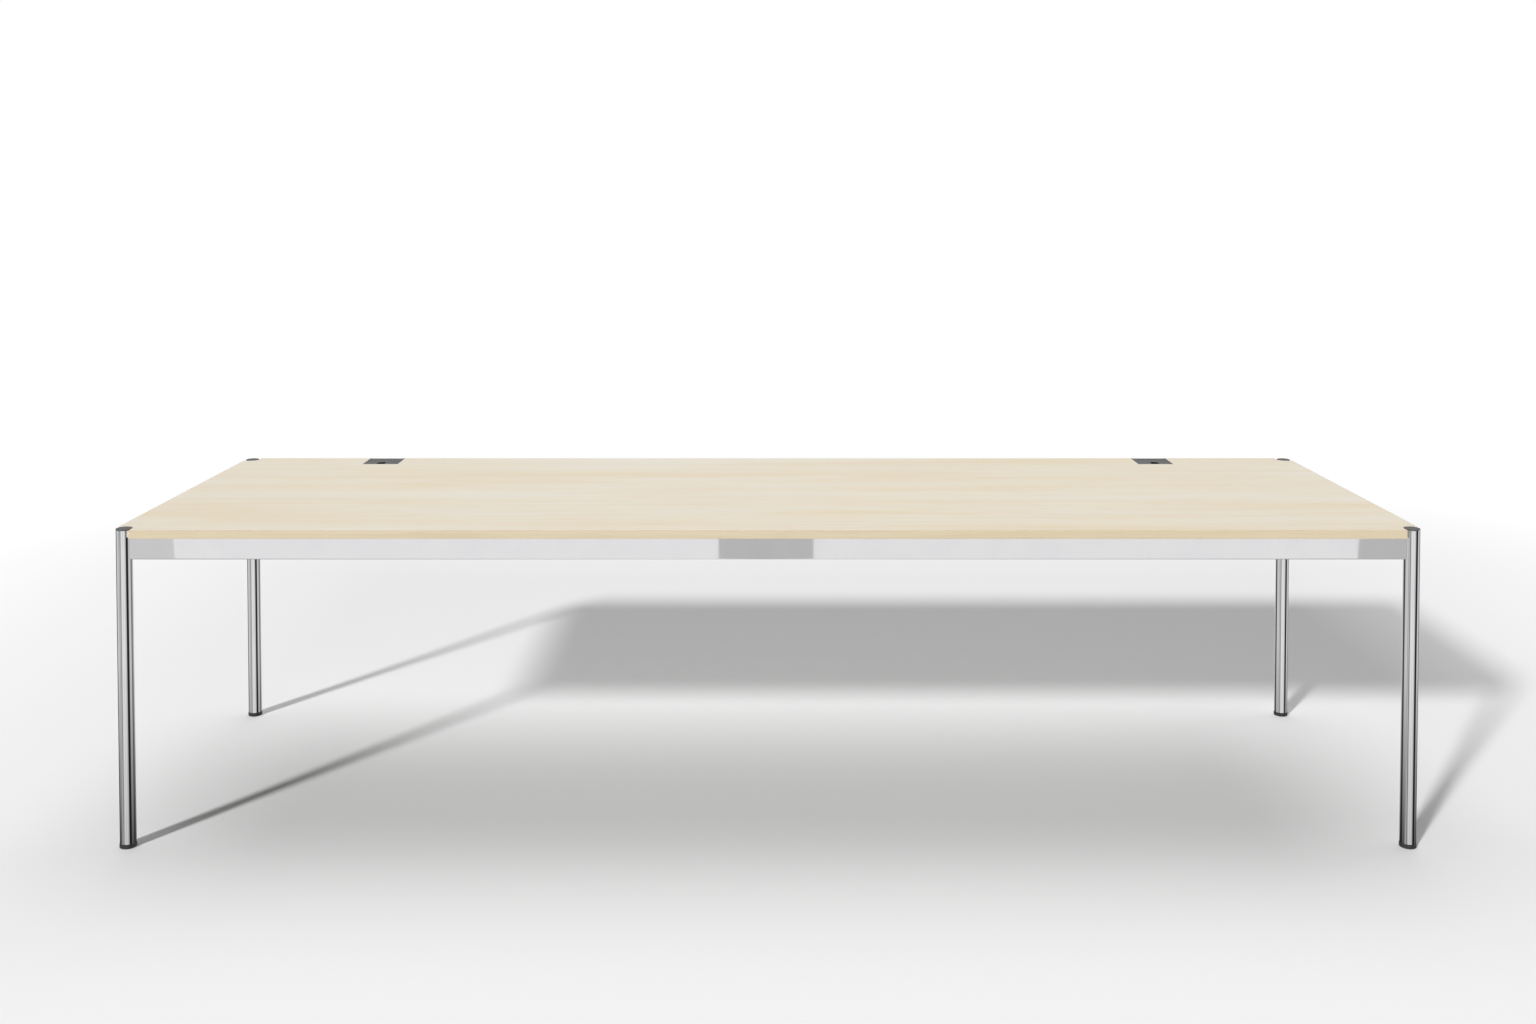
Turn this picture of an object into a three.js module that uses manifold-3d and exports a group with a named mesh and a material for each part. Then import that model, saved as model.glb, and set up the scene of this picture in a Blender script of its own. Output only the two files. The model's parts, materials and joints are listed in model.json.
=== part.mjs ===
import * as THREE from "three";
import { mergeVertices } from "three/addons/utils/BufferGeometryUtils.js";
import Module from "manifold-3d";

// A long conference table: a wood-faced board on four round tube legs that stand in its notched
// corners, with flat tube rails between the legs and two lidded cable outlets in the back edge.
// Millimetres, Z up. The table stands on Z = 0 with its length along X and its depth along Y.
// The front is at -Y and the cable outlets are at the back, at +Y.

// Table top
const TABLE_LENGTH = 3000;
const TABLE_DEPTH = 900;
const TABLE_HEIGHT = 740;
const BOARD_THICKNESS = 20;
const EDGE_THICKNESS = 2;
const EDGE_OVERHANG = 2;
const NOTCH_CLEARANCE = 0.6;

// Legs and their caps
const LEG_DIAMETER = 36;
const LEG_WALL = 2;
const CAP_PROUD = 0.5;
const CAP_FLANGE = 3;
const CAP_CHAMFER = 0.6;
const CAP_PLUG_LENGTH = 15;
const CAP_PLUG_WALL = 2;

// Levelling feet
const FOOT_HEIGHT = 9;
const FOOT_FLARE = 1;
const FOOT_CHAMFER = 1.5;
const FOOT_GAP = 1;
const FOOT_SOCKET_DEPTH = 5;
const STUD_DIAMETER = 10;
const STUD_COLLAR_DIAMETER = 14;
const STUD_COLLAR_HEIGHT = 4;
const STUD_TOP_GAP = 2;
const INSERT_LENGTH = 30;

// Rails and cross bars
const RAIL_HEIGHT = 50;
const RAIL_WIDTH = 20;
const RAIL_WALL = 2;
const RAIL_CORNER = 2.5;
const RAIL_INNER_CORNER = 0.5;
const CROSS_BAR_HEIGHT = 40;
const CROSS_BAR_WIDTH = 20;
const CROSS_BAR_OFFSET = 500;
const TENON_REACH = 4;
const TENON_HEIGHT = 24;

// Corner brackets, with the bolt and nut that draw the rails against the leg
const BRACKET_THICKNESS = 3;
const BRACKET_HEIGHT = 36;
const BRACKET_SETBACK = 66;
const BRACKET_STANDOFF = 4;
const BRACKET_LIP_REACH = 3;
const BOLT_DIAMETER = 6;
const BOLT_HEAD_WIDTH = 10;
const BOLT_HEAD_HEIGHT = 4;
const NUT_DIAMETER = 11;
const NUT_LENGTH = 8;

// Screws that hold the board down
const SCREW_DIAMETER = 4.4;
const SCREW_HEAD_DIAMETER = 9;
const SCREW_HEAD_HEIGHT = 3;
const SCREW_COVER = 5;
const SCREW_TIP = 3;
const SCREW_ACCESS_DIAMETER = 12;
const FRONT_SCREW_SPACING = 1000;
const BACK_SCREW_SPACING = 700;

// Cable outlets
const OUTLET_FROM_END = 404;
const OUTLET_WIDTH = 98;
const OUTLET_DEPTH = 90;
const OUTLET_WALL = 3;
const OUTLET_LEDGE = 3;
const LID_THICKNESS = 4;
const LID_CLEARANCE = 0.5;
const LID_SEAT_GAP = 0.3;
const LID_BACK_REVEAL = 0.3;
const LID_NOTCH_WIDTH = 22;
const LID_NOTCH_DEPTH = 26;
const HINGE_PIN_DIAMETER = 3;
const HINGE_PIN_END_GAP = 0.5;

// Clearance where one piece fits in or against another
const FIT = 0.3;
const OVERCUT = 1;

// Facets of round pieces
const LEG_FACETS = 40;
const FOOT_FACETS = 32;
const SMALL_FACETS = 12;
const CORNER_FACETS = 4;
const HEX_SIDES = 6;

const legRadius = LEG_DIAMETER / 2;
const legBore = legRadius - LEG_WALL;
const legX = TABLE_LENGTH / 2 - EDGE_OVERHANG - legRadius;
const legY = TABLE_DEPTH / 2 - EDGE_OVERHANG - legRadius;
const notchRadius = legRadius + NOTCH_CLEARANCE;
const boardUnderside = TABLE_HEIGHT - BOARD_THICKNESS;
const legBottom = FOOT_HEIGHT + FOOT_GAP;
const legTop = TABLE_HEIGHT + CAP_PROUD - CAP_FLANGE;
const railMiddle = boardUnderside - RAIL_HEIGHT / 2;
const outletX = TABLE_LENGTH / 2 - OUTLET_FROM_END;
const outletNotchHalf = OUTLET_WIDTH / 2 + FIT;
const outletNotchDepth = OUTLET_DEPTH + FIT;
const screwHole = SCREW_DIAMETER / 2 + FIT;
const screwHeadTop = boardUnderside - RAIL_WALL;
const screwTop = TABLE_HEIGHT - SCREW_COVER;

const wasm = await Module();
wasm.setup();

const WOOD = new THREE.MeshStandardMaterial({ color: 0xe7dcc6, roughness: 0.45, metalness: 0 });
const WOOD_EDGE = new THREE.MeshStandardMaterial({ color: 0xdfcfb0, roughness: 0.5, metalness: 0 });
const CHROME = new THREE.MeshStandardMaterial({ color: 0xdcdcde, roughness: 0.12, metalness: 1 });
const ZINC = new THREE.MeshStandardMaterial({ color: 0xa8a9a6, roughness: 0.4, metalness: 1 });
const GREY_PLASTIC = new THREE.MeshStandardMaterial({ color: 0x646464, roughness: 0.5, metalness: 0 });
const BLACK_PLASTIC = new THREE.MeshStandardMaterial({ color: 0x262626, roughness: 0.55, metalness: 0 });

/** A named mesh with a material of its own. */
function piece(name, geometry, finish) {
  const mesh = new THREE.Mesh(geometry, finish.clone());
  mesh.name = name;
  return mesh;
}

/** The closed solid of a geometry, ready to be joined or cut. */
function solid(geometry) {
  const bare = geometry.clone();
  bare.deleteAttribute("normal");
  bare.deleteAttribute("uv");
  const merged = mergeVertices(bare);
  const vertProperties = new Float32Array(merged.attributes.position.array);
  const triVerts = new Uint32Array(merged.index.array);
  return new wasm.Manifold(new wasm.Mesh({ numProp: 3, vertProperties, triVerts }));
}

/** The geometry of a solid. */
function geometryOf(body) {
  const mesh = body.getMesh();
  const geometry = new THREE.BufferGeometry();
  geometry.setAttribute("position", new THREE.BufferAttribute(mesh.vertProperties, 3));
  geometry.setIndex(new THREE.BufferAttribute(mesh.triVerts, 1));
  geometry.computeVertexNormals();
  return geometry;
}

/** A geometry with the tools' shapes cut out of it. */
function cut(geometry, tools) {
  return geometryOf(tools.reduce((body, tool) => body.subtract(solid(tool)), solid(geometry)));
}

/** Several geometries joined into one solid. */
function join(geometries) {
  return geometryOf(geometries.map(solid).reduce((body, other) => body.add(other)));
}

/** A box between two limits on each axis. */
function box([x0, x1], [y0, y1], [z0, z1]) {
  const geometry = new THREE.BoxGeometry(x1 - x0, y1 - y0, z1 - z0);
  return geometry.translate((x0 + x1) / 2, (y0 + y1) / 2, (z0 + z1) / 2);
}

/** A cylinder along Z between two heights. */
function post(radius, z0, z1, facets) {
  const geometry = new THREE.CylinderGeometry(radius, radius, z1 - z0, facets);
  return geometry.rotateX(Math.PI / 2).translate(0, 0, (z0 + z1) / 2);
}

/** A cylinder along X between two limits. */
function rod(radius, x0, x1, facets) {
  const geometry = new THREE.CylinderGeometry(radius, radius, x1 - x0, facets);
  return geometry.rotateZ(Math.PI / 2).translate((x0 + x1) / 2, 0, 0);
}

/** A turned piece about Z, from the radius and height of each corner of its profile. */
function turned(profile, facets) {
  const points = profile.map(([radius, height]) => new THREE.Vector2(radius, height));
  return new THREE.LatheGeometry(points, facets).rotateX(Math.PI / 2);
}

/** A plan outline raised from one height to another, with so many facets on each of its arcs. */
function raised(shape, z0, z1, arcFacets) {
  const options = { depth: z1 - z0, bevelEnabled: false, curveSegments: arcFacets / 2 };
  return new THREE.ExtrudeGeometry(shape, options).translate(0, 0, z0);
}

/** A rectangle about the origin with rounded corners. */
function roundedRectangle(width, height, corner) {
  const x = width / 2 - corner;
  const y = height / 2 - corner;
  const quarter = Math.PI / 2;
  const shape = new THREE.Shape();
  shape.absarc(x, y, corner, 0, quarter);
  shape.absarc(-x, y, corner, quarter, 2 * quarter);
  shape.absarc(-x, -y, corner, 2 * quarter, 3 * quarter);
  shape.absarc(x, -y, corner, 3 * quarter, 4 * quarter);
  shape.closePath();
  return shape;
}

/** A flat tube along X about the origin, open at both ends. */
function flatTube(length, width, height) {
  const section = roundedRectangle(width, height, RAIL_CORNER);
  section.holes.push(roundedRectangle(width - 2 * RAIL_WALL, height - 2 * RAIL_WALL, RAIL_INNER_CORNER));
  const geometry = raised(section, -length / 2, length / 2, CORNER_FACETS);
  return geometry.rotateX(Math.PI / 2).rotateZ(Math.PI / 2);
}

/** The holes for a board screw through a flat tube of the given height, at x along it. */
function screwHoles(x, height) {
  const top = height / 2;
  const hole = post(screwHole, top - RAIL_WALL - OVERCUT, top + OVERCUT, SMALL_FACETS);
  const access = post(SCREW_ACCESS_DIAMETER / 2, -top - OVERCUT, -top + RAIL_WALL + OVERCUT, SMALL_FACETS);
  return [hole.translate(x, 0, 0), access.translate(x, 0, 0)];
}

/** The outline of the board's core: notched at the corners for the legs and at the back for the outlets. */
function boardOutline() {
  const x = TABLE_LENGTH / 2 - EDGE_THICKNESS;
  const y = TABLE_DEPTH / 2 - EDGE_THICKNESS;
  const outletFront = TABLE_DEPTH / 2 - outletNotchDepth;
  const quarter = Math.PI / 2;
  const shape = new THREE.Shape();
  shape.moveTo(-legX + notchRadius, -y);
  shape.lineTo(legX - notchRadius, -y);
  shape.absarc(legX, -legY, notchRadius, 2 * quarter, quarter, true);
  shape.lineTo(x, -legY + notchRadius);
  shape.lineTo(x, legY - notchRadius);
  shape.absarc(legX, legY, notchRadius, 3 * quarter, 2 * quarter, true);
  shape.lineTo(legX - notchRadius, y);
  for (const middle of [outletX, -outletX]) {
    shape.lineTo(middle + outletNotchHalf, y);
    shape.lineTo(middle + outletNotchHalf, outletFront);
    shape.lineTo(middle - outletNotchHalf, outletFront);
    shape.lineTo(middle - outletNotchHalf, y);
  }
  shape.lineTo(-legX + notchRadius, y);
  shape.absarc(-legX, legY, notchRadius, 0, -quarter, true);
  shape.lineTo(-x, legY - notchRadius);
  shape.lineTo(-x, -legY + notchRadius);
  shape.absarc(-legX, -legY, notchRadius, quarter, 0, true);
  shape.closePath();
  return shape;
}

/** Where each board screw stands, by name. */
function screwPlaces() {
  const places = [];
  [-1, 0, 1].forEach((step, index) => {
    places.push({ name: `top_screw_front_${index + 1}`, x: step * FRONT_SCREW_SPACING, y: -legY });
    places.push({ name: `top_screw_back_${index + 1}`, x: step * BACK_SCREW_SPACING, y: legY });
  });
  places.push({ name: "top_screw_cross_left", x: -CROSS_BAR_OFFSET, y: 0 });
  places.push({ name: "top_screw_cross_right", x: CROSS_BAR_OFFSET, y: 0 });
  return places;
}

/** The board with its edge bands. */
function tableTop() {
  const top = new THREE.Group();
  const core = raised(boardOutline(), boardUnderside, TABLE_HEIGHT, LEG_FACETS / 4);
  const pilots = screwPlaces().map(({ x, y }) =>
    post(screwHole, boardUnderside - OVERCUT, screwTop + FIT, SMALL_FACETS).translate(x, y, 0));
  top.add(piece("top_board", cut(core, pilots), WOOD));

  const z = [boardUnderside, TABLE_HEIGHT];
  const outer = { x: TABLE_LENGTH / 2, y: TABLE_DEPTH / 2 };
  const inner = { x: outer.x - EDGE_THICKNESS, y: outer.y - EDGE_THICKNESS };
  const end = { x: legX - notchRadius, y: legY - notchRadius };
  const outlet = { near: outletX - outletNotchHalf, far: outletX + outletNotchHalf };
  const bands = {
    front: box([-end.x, end.x], [-outer.y, -inner.y], z),
    left: box([-outer.x, -inner.x], [-end.y, end.y], z),
    right: box([inner.x, outer.x], [-end.y, end.y], z),
    back_left: box([-end.x, -outlet.far], [inner.y, outer.y], z),
    back_middle: box([-outlet.near, outlet.near], [inner.y, outer.y], z),
    back_right: box([outlet.far, end.x], [inner.y, outer.y], z),
  };
  for (const [side, geometry] of Object.entries(bands)) {
    top.add(piece(`edge_band_${side}`, geometry, WOOD_EDGE));
  }
  return top;
}

/** The screws that go up through the rails and cross bars into the board. */
function boardScrews() {
  const screws = new THREE.Group();
  const profile = [
    [0, screwHeadTop - SCREW_HEAD_HEIGHT],
    [SCREW_HEAD_DIAMETER / 2, screwHeadTop - SCREW_HEAD_HEIGHT],
    [SCREW_HEAD_DIAMETER / 2, screwHeadTop],
    [SCREW_DIAMETER / 2, screwHeadTop],
    [SCREW_DIAMETER / 2, screwTop - SCREW_TIP],
    [0, screwTop],
  ];
  for (const { name, x, y } of screwPlaces()) {
    const screw = piece(name, turned(profile, SMALL_FACETS), ZINC);
    screw.position.set(x, y, 0);
    screws.add(screw);
  }
  return screws;
}

/**
 * A rail along X about the origin, hollowed at its ends to sit against the legs, which stand at
 * halfSpan on either side. Its inner wall faces +Y and is slotted for the brackets and cross bars.
 */
function rail(halfSpan, screwOffsets, crossOffsets) {
  const wall = [RAIL_WIDTH / 2 - RAIL_WALL - OVERCUT, RAIL_WIDTH / 2 + OVERCUT];
  const tools = screwOffsets.flatMap((x) => screwHoles(x, RAIL_HEIGHT));
  for (const side of [-1, 1]) {
    const saddle = post(legRadius + FIT, -RAIL_HEIGHT, RAIL_HEIGHT, LEG_FACETS);
    tools.push(saddle.translate(side * halfSpan, 0, 0));

    const boltRelief = rod(BOLT_DIAMETER / 2 + FIT, 0, BRACKET_SETBACK, SMALL_FACETS);
    boltRelief.rotateZ(Math.PI / 2 + side * Math.PI / 4);
    tools.push(boltRelief.translate(side * halfSpan, 0, 0));

    const slotX = side * (halfSpan - BRACKET_SETBACK);
    const slotHalf = BRACKET_THICKNESS / 2 + FIT;
    const slotRise = BRACKET_HEIGHT / 2 + FIT;
    tools.push(box([slotX - slotHalf, slotX + slotHalf], wall, [-slotRise, slotRise]));
  }
  const tenonMiddle = (RAIL_HEIGHT - CROSS_BAR_HEIGHT) / 2;
  const tenonRise = TENON_HEIGHT / 2 + FIT;
  for (const x of crossOffsets) {
    for (const side of [-1, 1]) {
      const outside = x + side * (CROSS_BAR_WIDTH / 2 + FIT);
      const inside = x + side * (CROSS_BAR_WIDTH / 2 - RAIL_WALL - FIT);
      const limits = [Math.min(inside, outside), Math.max(inside, outside)];
      tools.push(box(limits, wall, [tenonMiddle - tenonRise, tenonMiddle + tenonRise]));
    }
  }
  return cut(flatTube(2 * halfSpan - legRadius, RAIL_WIDTH, RAIL_HEIGHT), tools);
}

/** A cross bar along X about the origin, whose side walls run on as tenons into the two long rails. */
function crossBar() {
  const length = 2 * (legY - RAIL_WIDTH / 2 - FIT);
  const tenonEnd = length / 2 + FIT + RAIL_WALL + TENON_REACH;
  const outer = CROSS_BAR_WIDTH / 2;
  const inner = outer - RAIL_WALL;
  const rise = [-TENON_HEIGHT / 2, TENON_HEIGHT / 2];
  const bodies = [flatTube(length, CROSS_BAR_WIDTH, CROSS_BAR_HEIGHT)];
  const root = length / 2 - OVERCUT;
  for (const x of [[-tenonEnd, -root], [root, tenonEnd]]) {
    bodies.push(box(x, [-outer, -inner], rise), box(x, [inner, outer], rise));
  }
  return cut(join(bodies), screwHoles(0, CROSS_BAR_HEIGHT));
}

/** The four rails and the two cross bars under the board. */
function underFrame() {
  const frame = new THREE.Group();
  const steps = [-1, 0, 1];
  const crossOffsets = [-CROSS_BAR_OFFSET, CROSS_BAR_OFFSET];
  const frontScrews = steps.map((step) => step * FRONT_SCREW_SPACING);
  const backScrews = steps.map((step) => step * BACK_SCREW_SPACING);
  const rails = [
    { name: "front_rail", geometry: rail(legX, frontScrews, crossOffsets), x: 0, y: -legY, turn: 0 },
    { name: "back_rail", geometry: rail(legX, backScrews, crossOffsets), x: 0, y: legY, turn: Math.PI },
    { name: "left_rail", geometry: rail(legY, [], []), x: -legX, y: 0, turn: -Math.PI / 2 },
    { name: "right_rail", geometry: rail(legY, [], []), x: legX, y: 0, turn: Math.PI / 2 },
  ];
  for (const { name, geometry, x, y, turn } of rails) {
    const mesh = piece(name, geometry, CHROME);
    mesh.position.set(x, y, railMiddle);
    mesh.rotation.z = turn;
    frame.add(mesh);
  }
  for (const [side, x] of [["left", -CROSS_BAR_OFFSET], ["right", CROSS_BAR_OFFSET]]) {
    const bar = piece(`cross_bar_${side}`, crossBar(), ZINC);
    bar.position.set(x, 0, boardUnderside - CROSS_BAR_HEIGHT / 2);
    bar.rotation.z = Math.PI / 2;
    frame.add(bar);
  }
  return frame;
}

/** A tube leg about the origin, drilled on its +X side for the corner bolt. */
function legTube() {
  const ring = new THREE.Shape();
  ring.absarc(0, 0, legRadius, 0, 2 * Math.PI);
  const bore = new THREE.Path();
  bore.absarc(0, 0, legBore, 0, 2 * Math.PI);
  ring.holes.push(bore);
  const hole = rod(BOLT_DIAMETER / 2 + FIT, legBore / 2, legRadius + OVERCUT, SMALL_FACETS);
  return cut(raised(ring, legBottom, legTop, LEG_FACETS), [hole.translate(0, 0, railMiddle)]);
}

/** The cap that closes the top of a leg: a flat disc with a hollow plug below it. */
function legCap() {
  const top = TABLE_HEIGHT + CAP_PROUD;
  const plug = legBore - FIT;
  return turned([
    [0, legTop - CAP_PLUG_WALL],
    [plug - CAP_PLUG_WALL, legTop - CAP_PLUG_WALL],
    [plug - CAP_PLUG_WALL, legTop - CAP_PLUG_LENGTH],
    [plug, legTop - CAP_PLUG_LENGTH],
    [plug, legTop],
    [legRadius, legTop],
    [legRadius, top - CAP_CHAMFER],
    [legRadius - CAP_CHAMFER, top],
    [0, top],
  ], LEG_FACETS);
}

/** The threaded plug in the foot of a leg. */
function legInsert() {
  const bore = STUD_DIAMETER / 2 + FIT;
  const outside = legBore - FIT;
  const top = legBottom + INSERT_LENGTH;
  const profile = [[bore, legBottom], [outside, legBottom], [outside, top], [bore, top], [bore, legBottom]];
  return turned(profile, FOOT_FACETS);
}

/** The pad of a levelling foot, with a socket in its top for the stud's collar. */
function footPad() {
  const radius = legRadius + FOOT_FLARE;
  const socket = STUD_COLLAR_DIAMETER / 2 + FIT;
  const floor = FOOT_HEIGHT - FOOT_SOCKET_DEPTH;
  return turned([
    [0, 0],
    [radius - FOOT_CHAMFER, 0],
    [radius, FOOT_CHAMFER],
    [radius, FOOT_HEIGHT],
    [socket, FOOT_HEIGHT],
    [socket, floor],
    [0, floor],
  ], FOOT_FACETS);
}

/** The threaded stud of a levelling foot, standing on its collar in the pad's socket. */
function footStud() {
  const base = FOOT_HEIGHT - FOOT_SOCKET_DEPTH;
  const shoulder = base + STUD_COLLAR_HEIGHT;
  const top = legBottom + INSERT_LENGTH - STUD_TOP_GAP;
  return turned([
    [0, base],
    [STUD_COLLAR_DIAMETER / 2, base],
    [STUD_COLLAR_DIAMETER / 2, shoulder],
    [STUD_DIAMETER / 2, shoulder],
    [STUD_DIAMETER / 2, top],
    [0, top],
  ], SMALL_FACETS);
}

/** Distance from the leg's axis to the middle of the bracket's plate, along the corner's diagonal. */
function bracketReach() {
  return (RAIL_WIDTH / 2 + BRACKET_STANDOFF + BRACKET_SETBACK) * Math.SQRT1_2;
}

/**
 * A corner bracket: a plate across the diagonal, +X, whose ends bend square to the two rails and
 * hook into their slots.
 */
function cornerBracket() {
  const onRail = (along, across, side) => new THREE.Vector2(
    (along + across) * Math.SQRT1_2,
    (along - across) * Math.SQRT1_2 * side,
  );
  const half = BRACKET_THICKNESS / 2;
  const lipTip = RAIL_WIDTH / 2 - RAIL_WALL - BRACKET_LIP_REACH;
  const bend = RAIL_WIDTH / 2 + BRACKET_STANDOFF;
  const mitre = half * Math.tan(Math.PI / 8);
  const near = [
    onRail(BRACKET_SETBACK - half, lipTip, 1),
    onRail(BRACKET_SETBACK - half, bend - mitre, 1),
  ];
  const far = [
    onRail(BRACKET_SETBACK + half, lipTip, 1),
    onRail(BRACKET_SETBACK + half, bend + mitre, 1),
  ];
  const mirrored = (point) => new THREE.Vector2(point.x, -point.y);
  const outline = [
    near[0],
    near[1],
    mirrored(near[1]),
    mirrored(near[0]),
    mirrored(far[0]),
    mirrored(far[1]),
    far[1],
    far[0],
  ];
  const rise = BRACKET_HEIGHT / 2;
  const plate = raised(new THREE.Shape(outline), railMiddle - rise, railMiddle + rise, CORNER_FACETS);
  const reach = bracketReach();
  const hole = rod(BOLT_DIAMETER / 2 + FIT, reach - 2 * half, reach + 2 * half, SMALL_FACETS);
  return cut(plate, [hole.translate(0, 0, railMiddle)]);
}

/** The nut inside the leg, along the diagonal. */
function legNut() {
  const radius = NUT_DIAMETER / 2;
  const outerEnd = Math.sqrt(legBore ** 2 - radius ** 2) - FIT;
  const bore = BOLT_DIAMETER / 2 + FIT;
  const profile = [
    [bore, outerEnd - NUT_LENGTH],
    [radius, outerEnd - NUT_LENGTH],
    [radius, outerEnd],
    [bore, outerEnd],
    [bore, outerEnd - NUT_LENGTH],
  ];
  return turned(profile, SMALL_FACETS).rotateY(Math.PI / 2).translate(0, 0, railMiddle);
}

/** The corner bolt: its head bears on the bracket and its shank runs into the nut in the leg. */
function cornerBolt() {
  const headBase = bracketReach() + BRACKET_THICKNESS / 2 + FIT;
  const headRadius = BOLT_HEAD_WIDTH / Math.sqrt(3);
  const head = rod(headRadius, headBase, headBase + BOLT_HEAD_HEIGHT, HEX_SIDES);
  const shank = rod(BOLT_DIAMETER / 2, legBore / 2, headBase + BOLT_HEAD_HEIGHT / 2, SMALL_FACETS);
  return join([head, shank]).translate(0, 0, railMiddle);
}

/** A leg with its cap, foot and corner fixings, turned so that +X points into the table. */
function leg(corner, xSide, ySide) {
  const group = new THREE.Group();
  group.position.set(xSide * legX, ySide * legY, 0);
  group.rotation.z = Math.atan2(-ySide, -xSide);
  group.add(
    piece(`leg_tube_${corner}`, legTube(), CHROME),
    piece(`leg_cap_${corner}`, legCap(), GREY_PLASTIC),
    piece(`leg_insert_${corner}`, legInsert(), ZINC),
    piece(`foot_stud_${corner}`, footStud(), ZINC),
    piece(`foot_pad_${corner}`, footPad(), BLACK_PLASTIC),
    piece(`corner_bracket_${corner}`, cornerBracket(), ZINC),
    piece(`corner_bolt_${corner}`, cornerBolt(), ZINC),
    piece(`leg_nut_${corner}`, legNut(), ZINC),
  );
  return group;
}

/** The frame that lines an outlet's notch, about the middle of the table's top back edge. */
function outletFrame(hingeY) {
  const half = OUTLET_WIDTH / 2;
  const z = [-BOARD_THICKNESS, 0];
  const rearTop = -2 * LID_THICKNESS - LID_CLEARANCE;
  const seat = -LID_THICKNESS - LID_SEAT_GAP;
  const front = -OUTLET_DEPTH;
  const bodies = [
    box([-half, half], [front, front + OUTLET_WALL], z),
    box([-half, half], [-OUTLET_WALL, 0], [-BOARD_THICKNESS, rearTop]),
  ];
  for (const side of [-1, 1]) {
    const wall = [side * half, side * (half - OUTLET_WALL)].sort((a, b) => a - b);
    const ledge = [side * half, side * (half - OUTLET_WALL - OUTLET_LEDGE)].sort((a, b) => a - b);
    bodies.push(box(wall, [front, 0], z));
    bodies.push(box(ledge, [front, hingeY - LID_THICKNESS - LID_CLEARANCE], [seat - OUTLET_LEDGE, seat]));
  }
  const pinHole = rod(HINGE_PIN_DIAMETER / 2 + FIT, -OUTLET_WIDTH, OUTLET_WIDTH, SMALL_FACETS);
  return cut(join(bodies), [pinHole.translate(0, hingeY, -LID_THICKNESS)]);
}

/** The lid of an outlet: a plate with the pin's barrel along its back and a cable notch in front. */
function outletLid(hingeY) {
  const half = OUTLET_WIDTH / 2 - OUTLET_WALL - LID_CLEARANCE;
  const front = -OUTLET_DEPTH + OUTLET_WALL + LID_CLEARANCE;
  const plate = box([-half, half], [front, hingeY], [-LID_THICKNESS, 0]);
  const barrel = rod(LID_THICKNESS, -half, half, FOOT_FACETS).translate(0, hingeY, -LID_THICKNESS);
  const bore = rod(HINGE_PIN_DIAMETER / 2 + FIT, -OUTLET_WIDTH, OUTLET_WIDTH, SMALL_FACETS);
  const notchHalf = LID_NOTCH_WIDTH / 2;
  const notchEnd = front + LID_NOTCH_DEPTH - notchHalf;
  return cut(join([plate, barrel]), [
    bore.translate(0, hingeY, -LID_THICKNESS),
    box([-notchHalf, notchHalf], [front - OVERCUT, notchEnd], [-BOARD_THICKNESS, OVERCUT]),
    post(notchHalf, -BOARD_THICKNESS, OVERCUT, FOOT_FACETS).translate(0, notchEnd, 0),
  ]);
}

/** A cable outlet with its frame, lid and hinge pin. */
function outlet(side, x) {
  const hingeY = -LID_THICKNESS - LID_BACK_REVEAL;
  const pinHalf = OUTLET_WIDTH / 2 - HINGE_PIN_END_GAP;
  const pin = rod(HINGE_PIN_DIAMETER / 2, -pinHalf, pinHalf, SMALL_FACETS);
  const group = new THREE.Group();
  group.position.set(x, TABLE_DEPTH / 2, TABLE_HEIGHT);
  group.add(
    piece(`outlet_frame_${side}`, outletFrame(hingeY), GREY_PLASTIC),
    piece(`outlet_lid_${side}`, outletLid(hingeY), GREY_PLASTIC),
    piece(`outlet_pin_${side}`, pin.translate(0, hingeY, -LID_THICKNESS), ZINC),
  );
  return group;
}

const table = new THREE.Group();
table.add(tableTop(), boardScrews(), underFrame());
table.add(leg("front_left", -1, -1), leg("front_right", 1, -1));
table.add(leg("back_left", -1, 1), leg("back_right", 1, 1));
table.add(outlet("left", -outletX), outlet("right", outletX));

export default table;
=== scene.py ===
"""Looks of a long conference table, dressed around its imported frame.

Everything is in metres in the frame's own axes: the table stands on Z = 0 with its length along X,
its front at -Y and its cable outlets in the back edge, at +Y.
"""

import json
import logging
import math
from dataclasses import dataclass
from enum import Enum
from typing import Iterable, Sequence

import bmesh
import bpy
from mathutils import Matrix, Vector


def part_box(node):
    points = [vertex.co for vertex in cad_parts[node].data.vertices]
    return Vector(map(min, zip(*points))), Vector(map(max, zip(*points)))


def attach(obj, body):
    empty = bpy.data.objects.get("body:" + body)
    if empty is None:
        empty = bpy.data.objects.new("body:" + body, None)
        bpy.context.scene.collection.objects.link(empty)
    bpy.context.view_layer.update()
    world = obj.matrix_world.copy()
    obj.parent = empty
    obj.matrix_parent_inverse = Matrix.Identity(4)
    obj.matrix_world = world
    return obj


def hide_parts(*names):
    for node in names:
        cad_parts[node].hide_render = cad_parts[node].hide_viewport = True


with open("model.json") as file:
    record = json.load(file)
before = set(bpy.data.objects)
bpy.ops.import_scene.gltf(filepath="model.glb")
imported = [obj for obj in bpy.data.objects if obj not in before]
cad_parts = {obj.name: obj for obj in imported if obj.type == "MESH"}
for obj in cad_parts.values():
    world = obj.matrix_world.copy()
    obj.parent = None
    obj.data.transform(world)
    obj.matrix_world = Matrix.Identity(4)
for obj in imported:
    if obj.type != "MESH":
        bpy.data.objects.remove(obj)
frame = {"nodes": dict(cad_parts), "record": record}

log = logging.getLogger("conference_table")

Shape = bmesh.types.BMesh
Edge = bmesh.types.BMEdge
Tree = bpy.types.NodeTree
Node = bpy.types.Node
Socket = bpy.types.NodeSocket
Pair = tuple[float, float]
Triple = tuple[float, float, float]
Profile = Sequence[Pair]
Given = Socket | float | Sequence[float]

MM = 0.001
CIRCLE = 360
UNIT = (0.0, 1.0)

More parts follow.
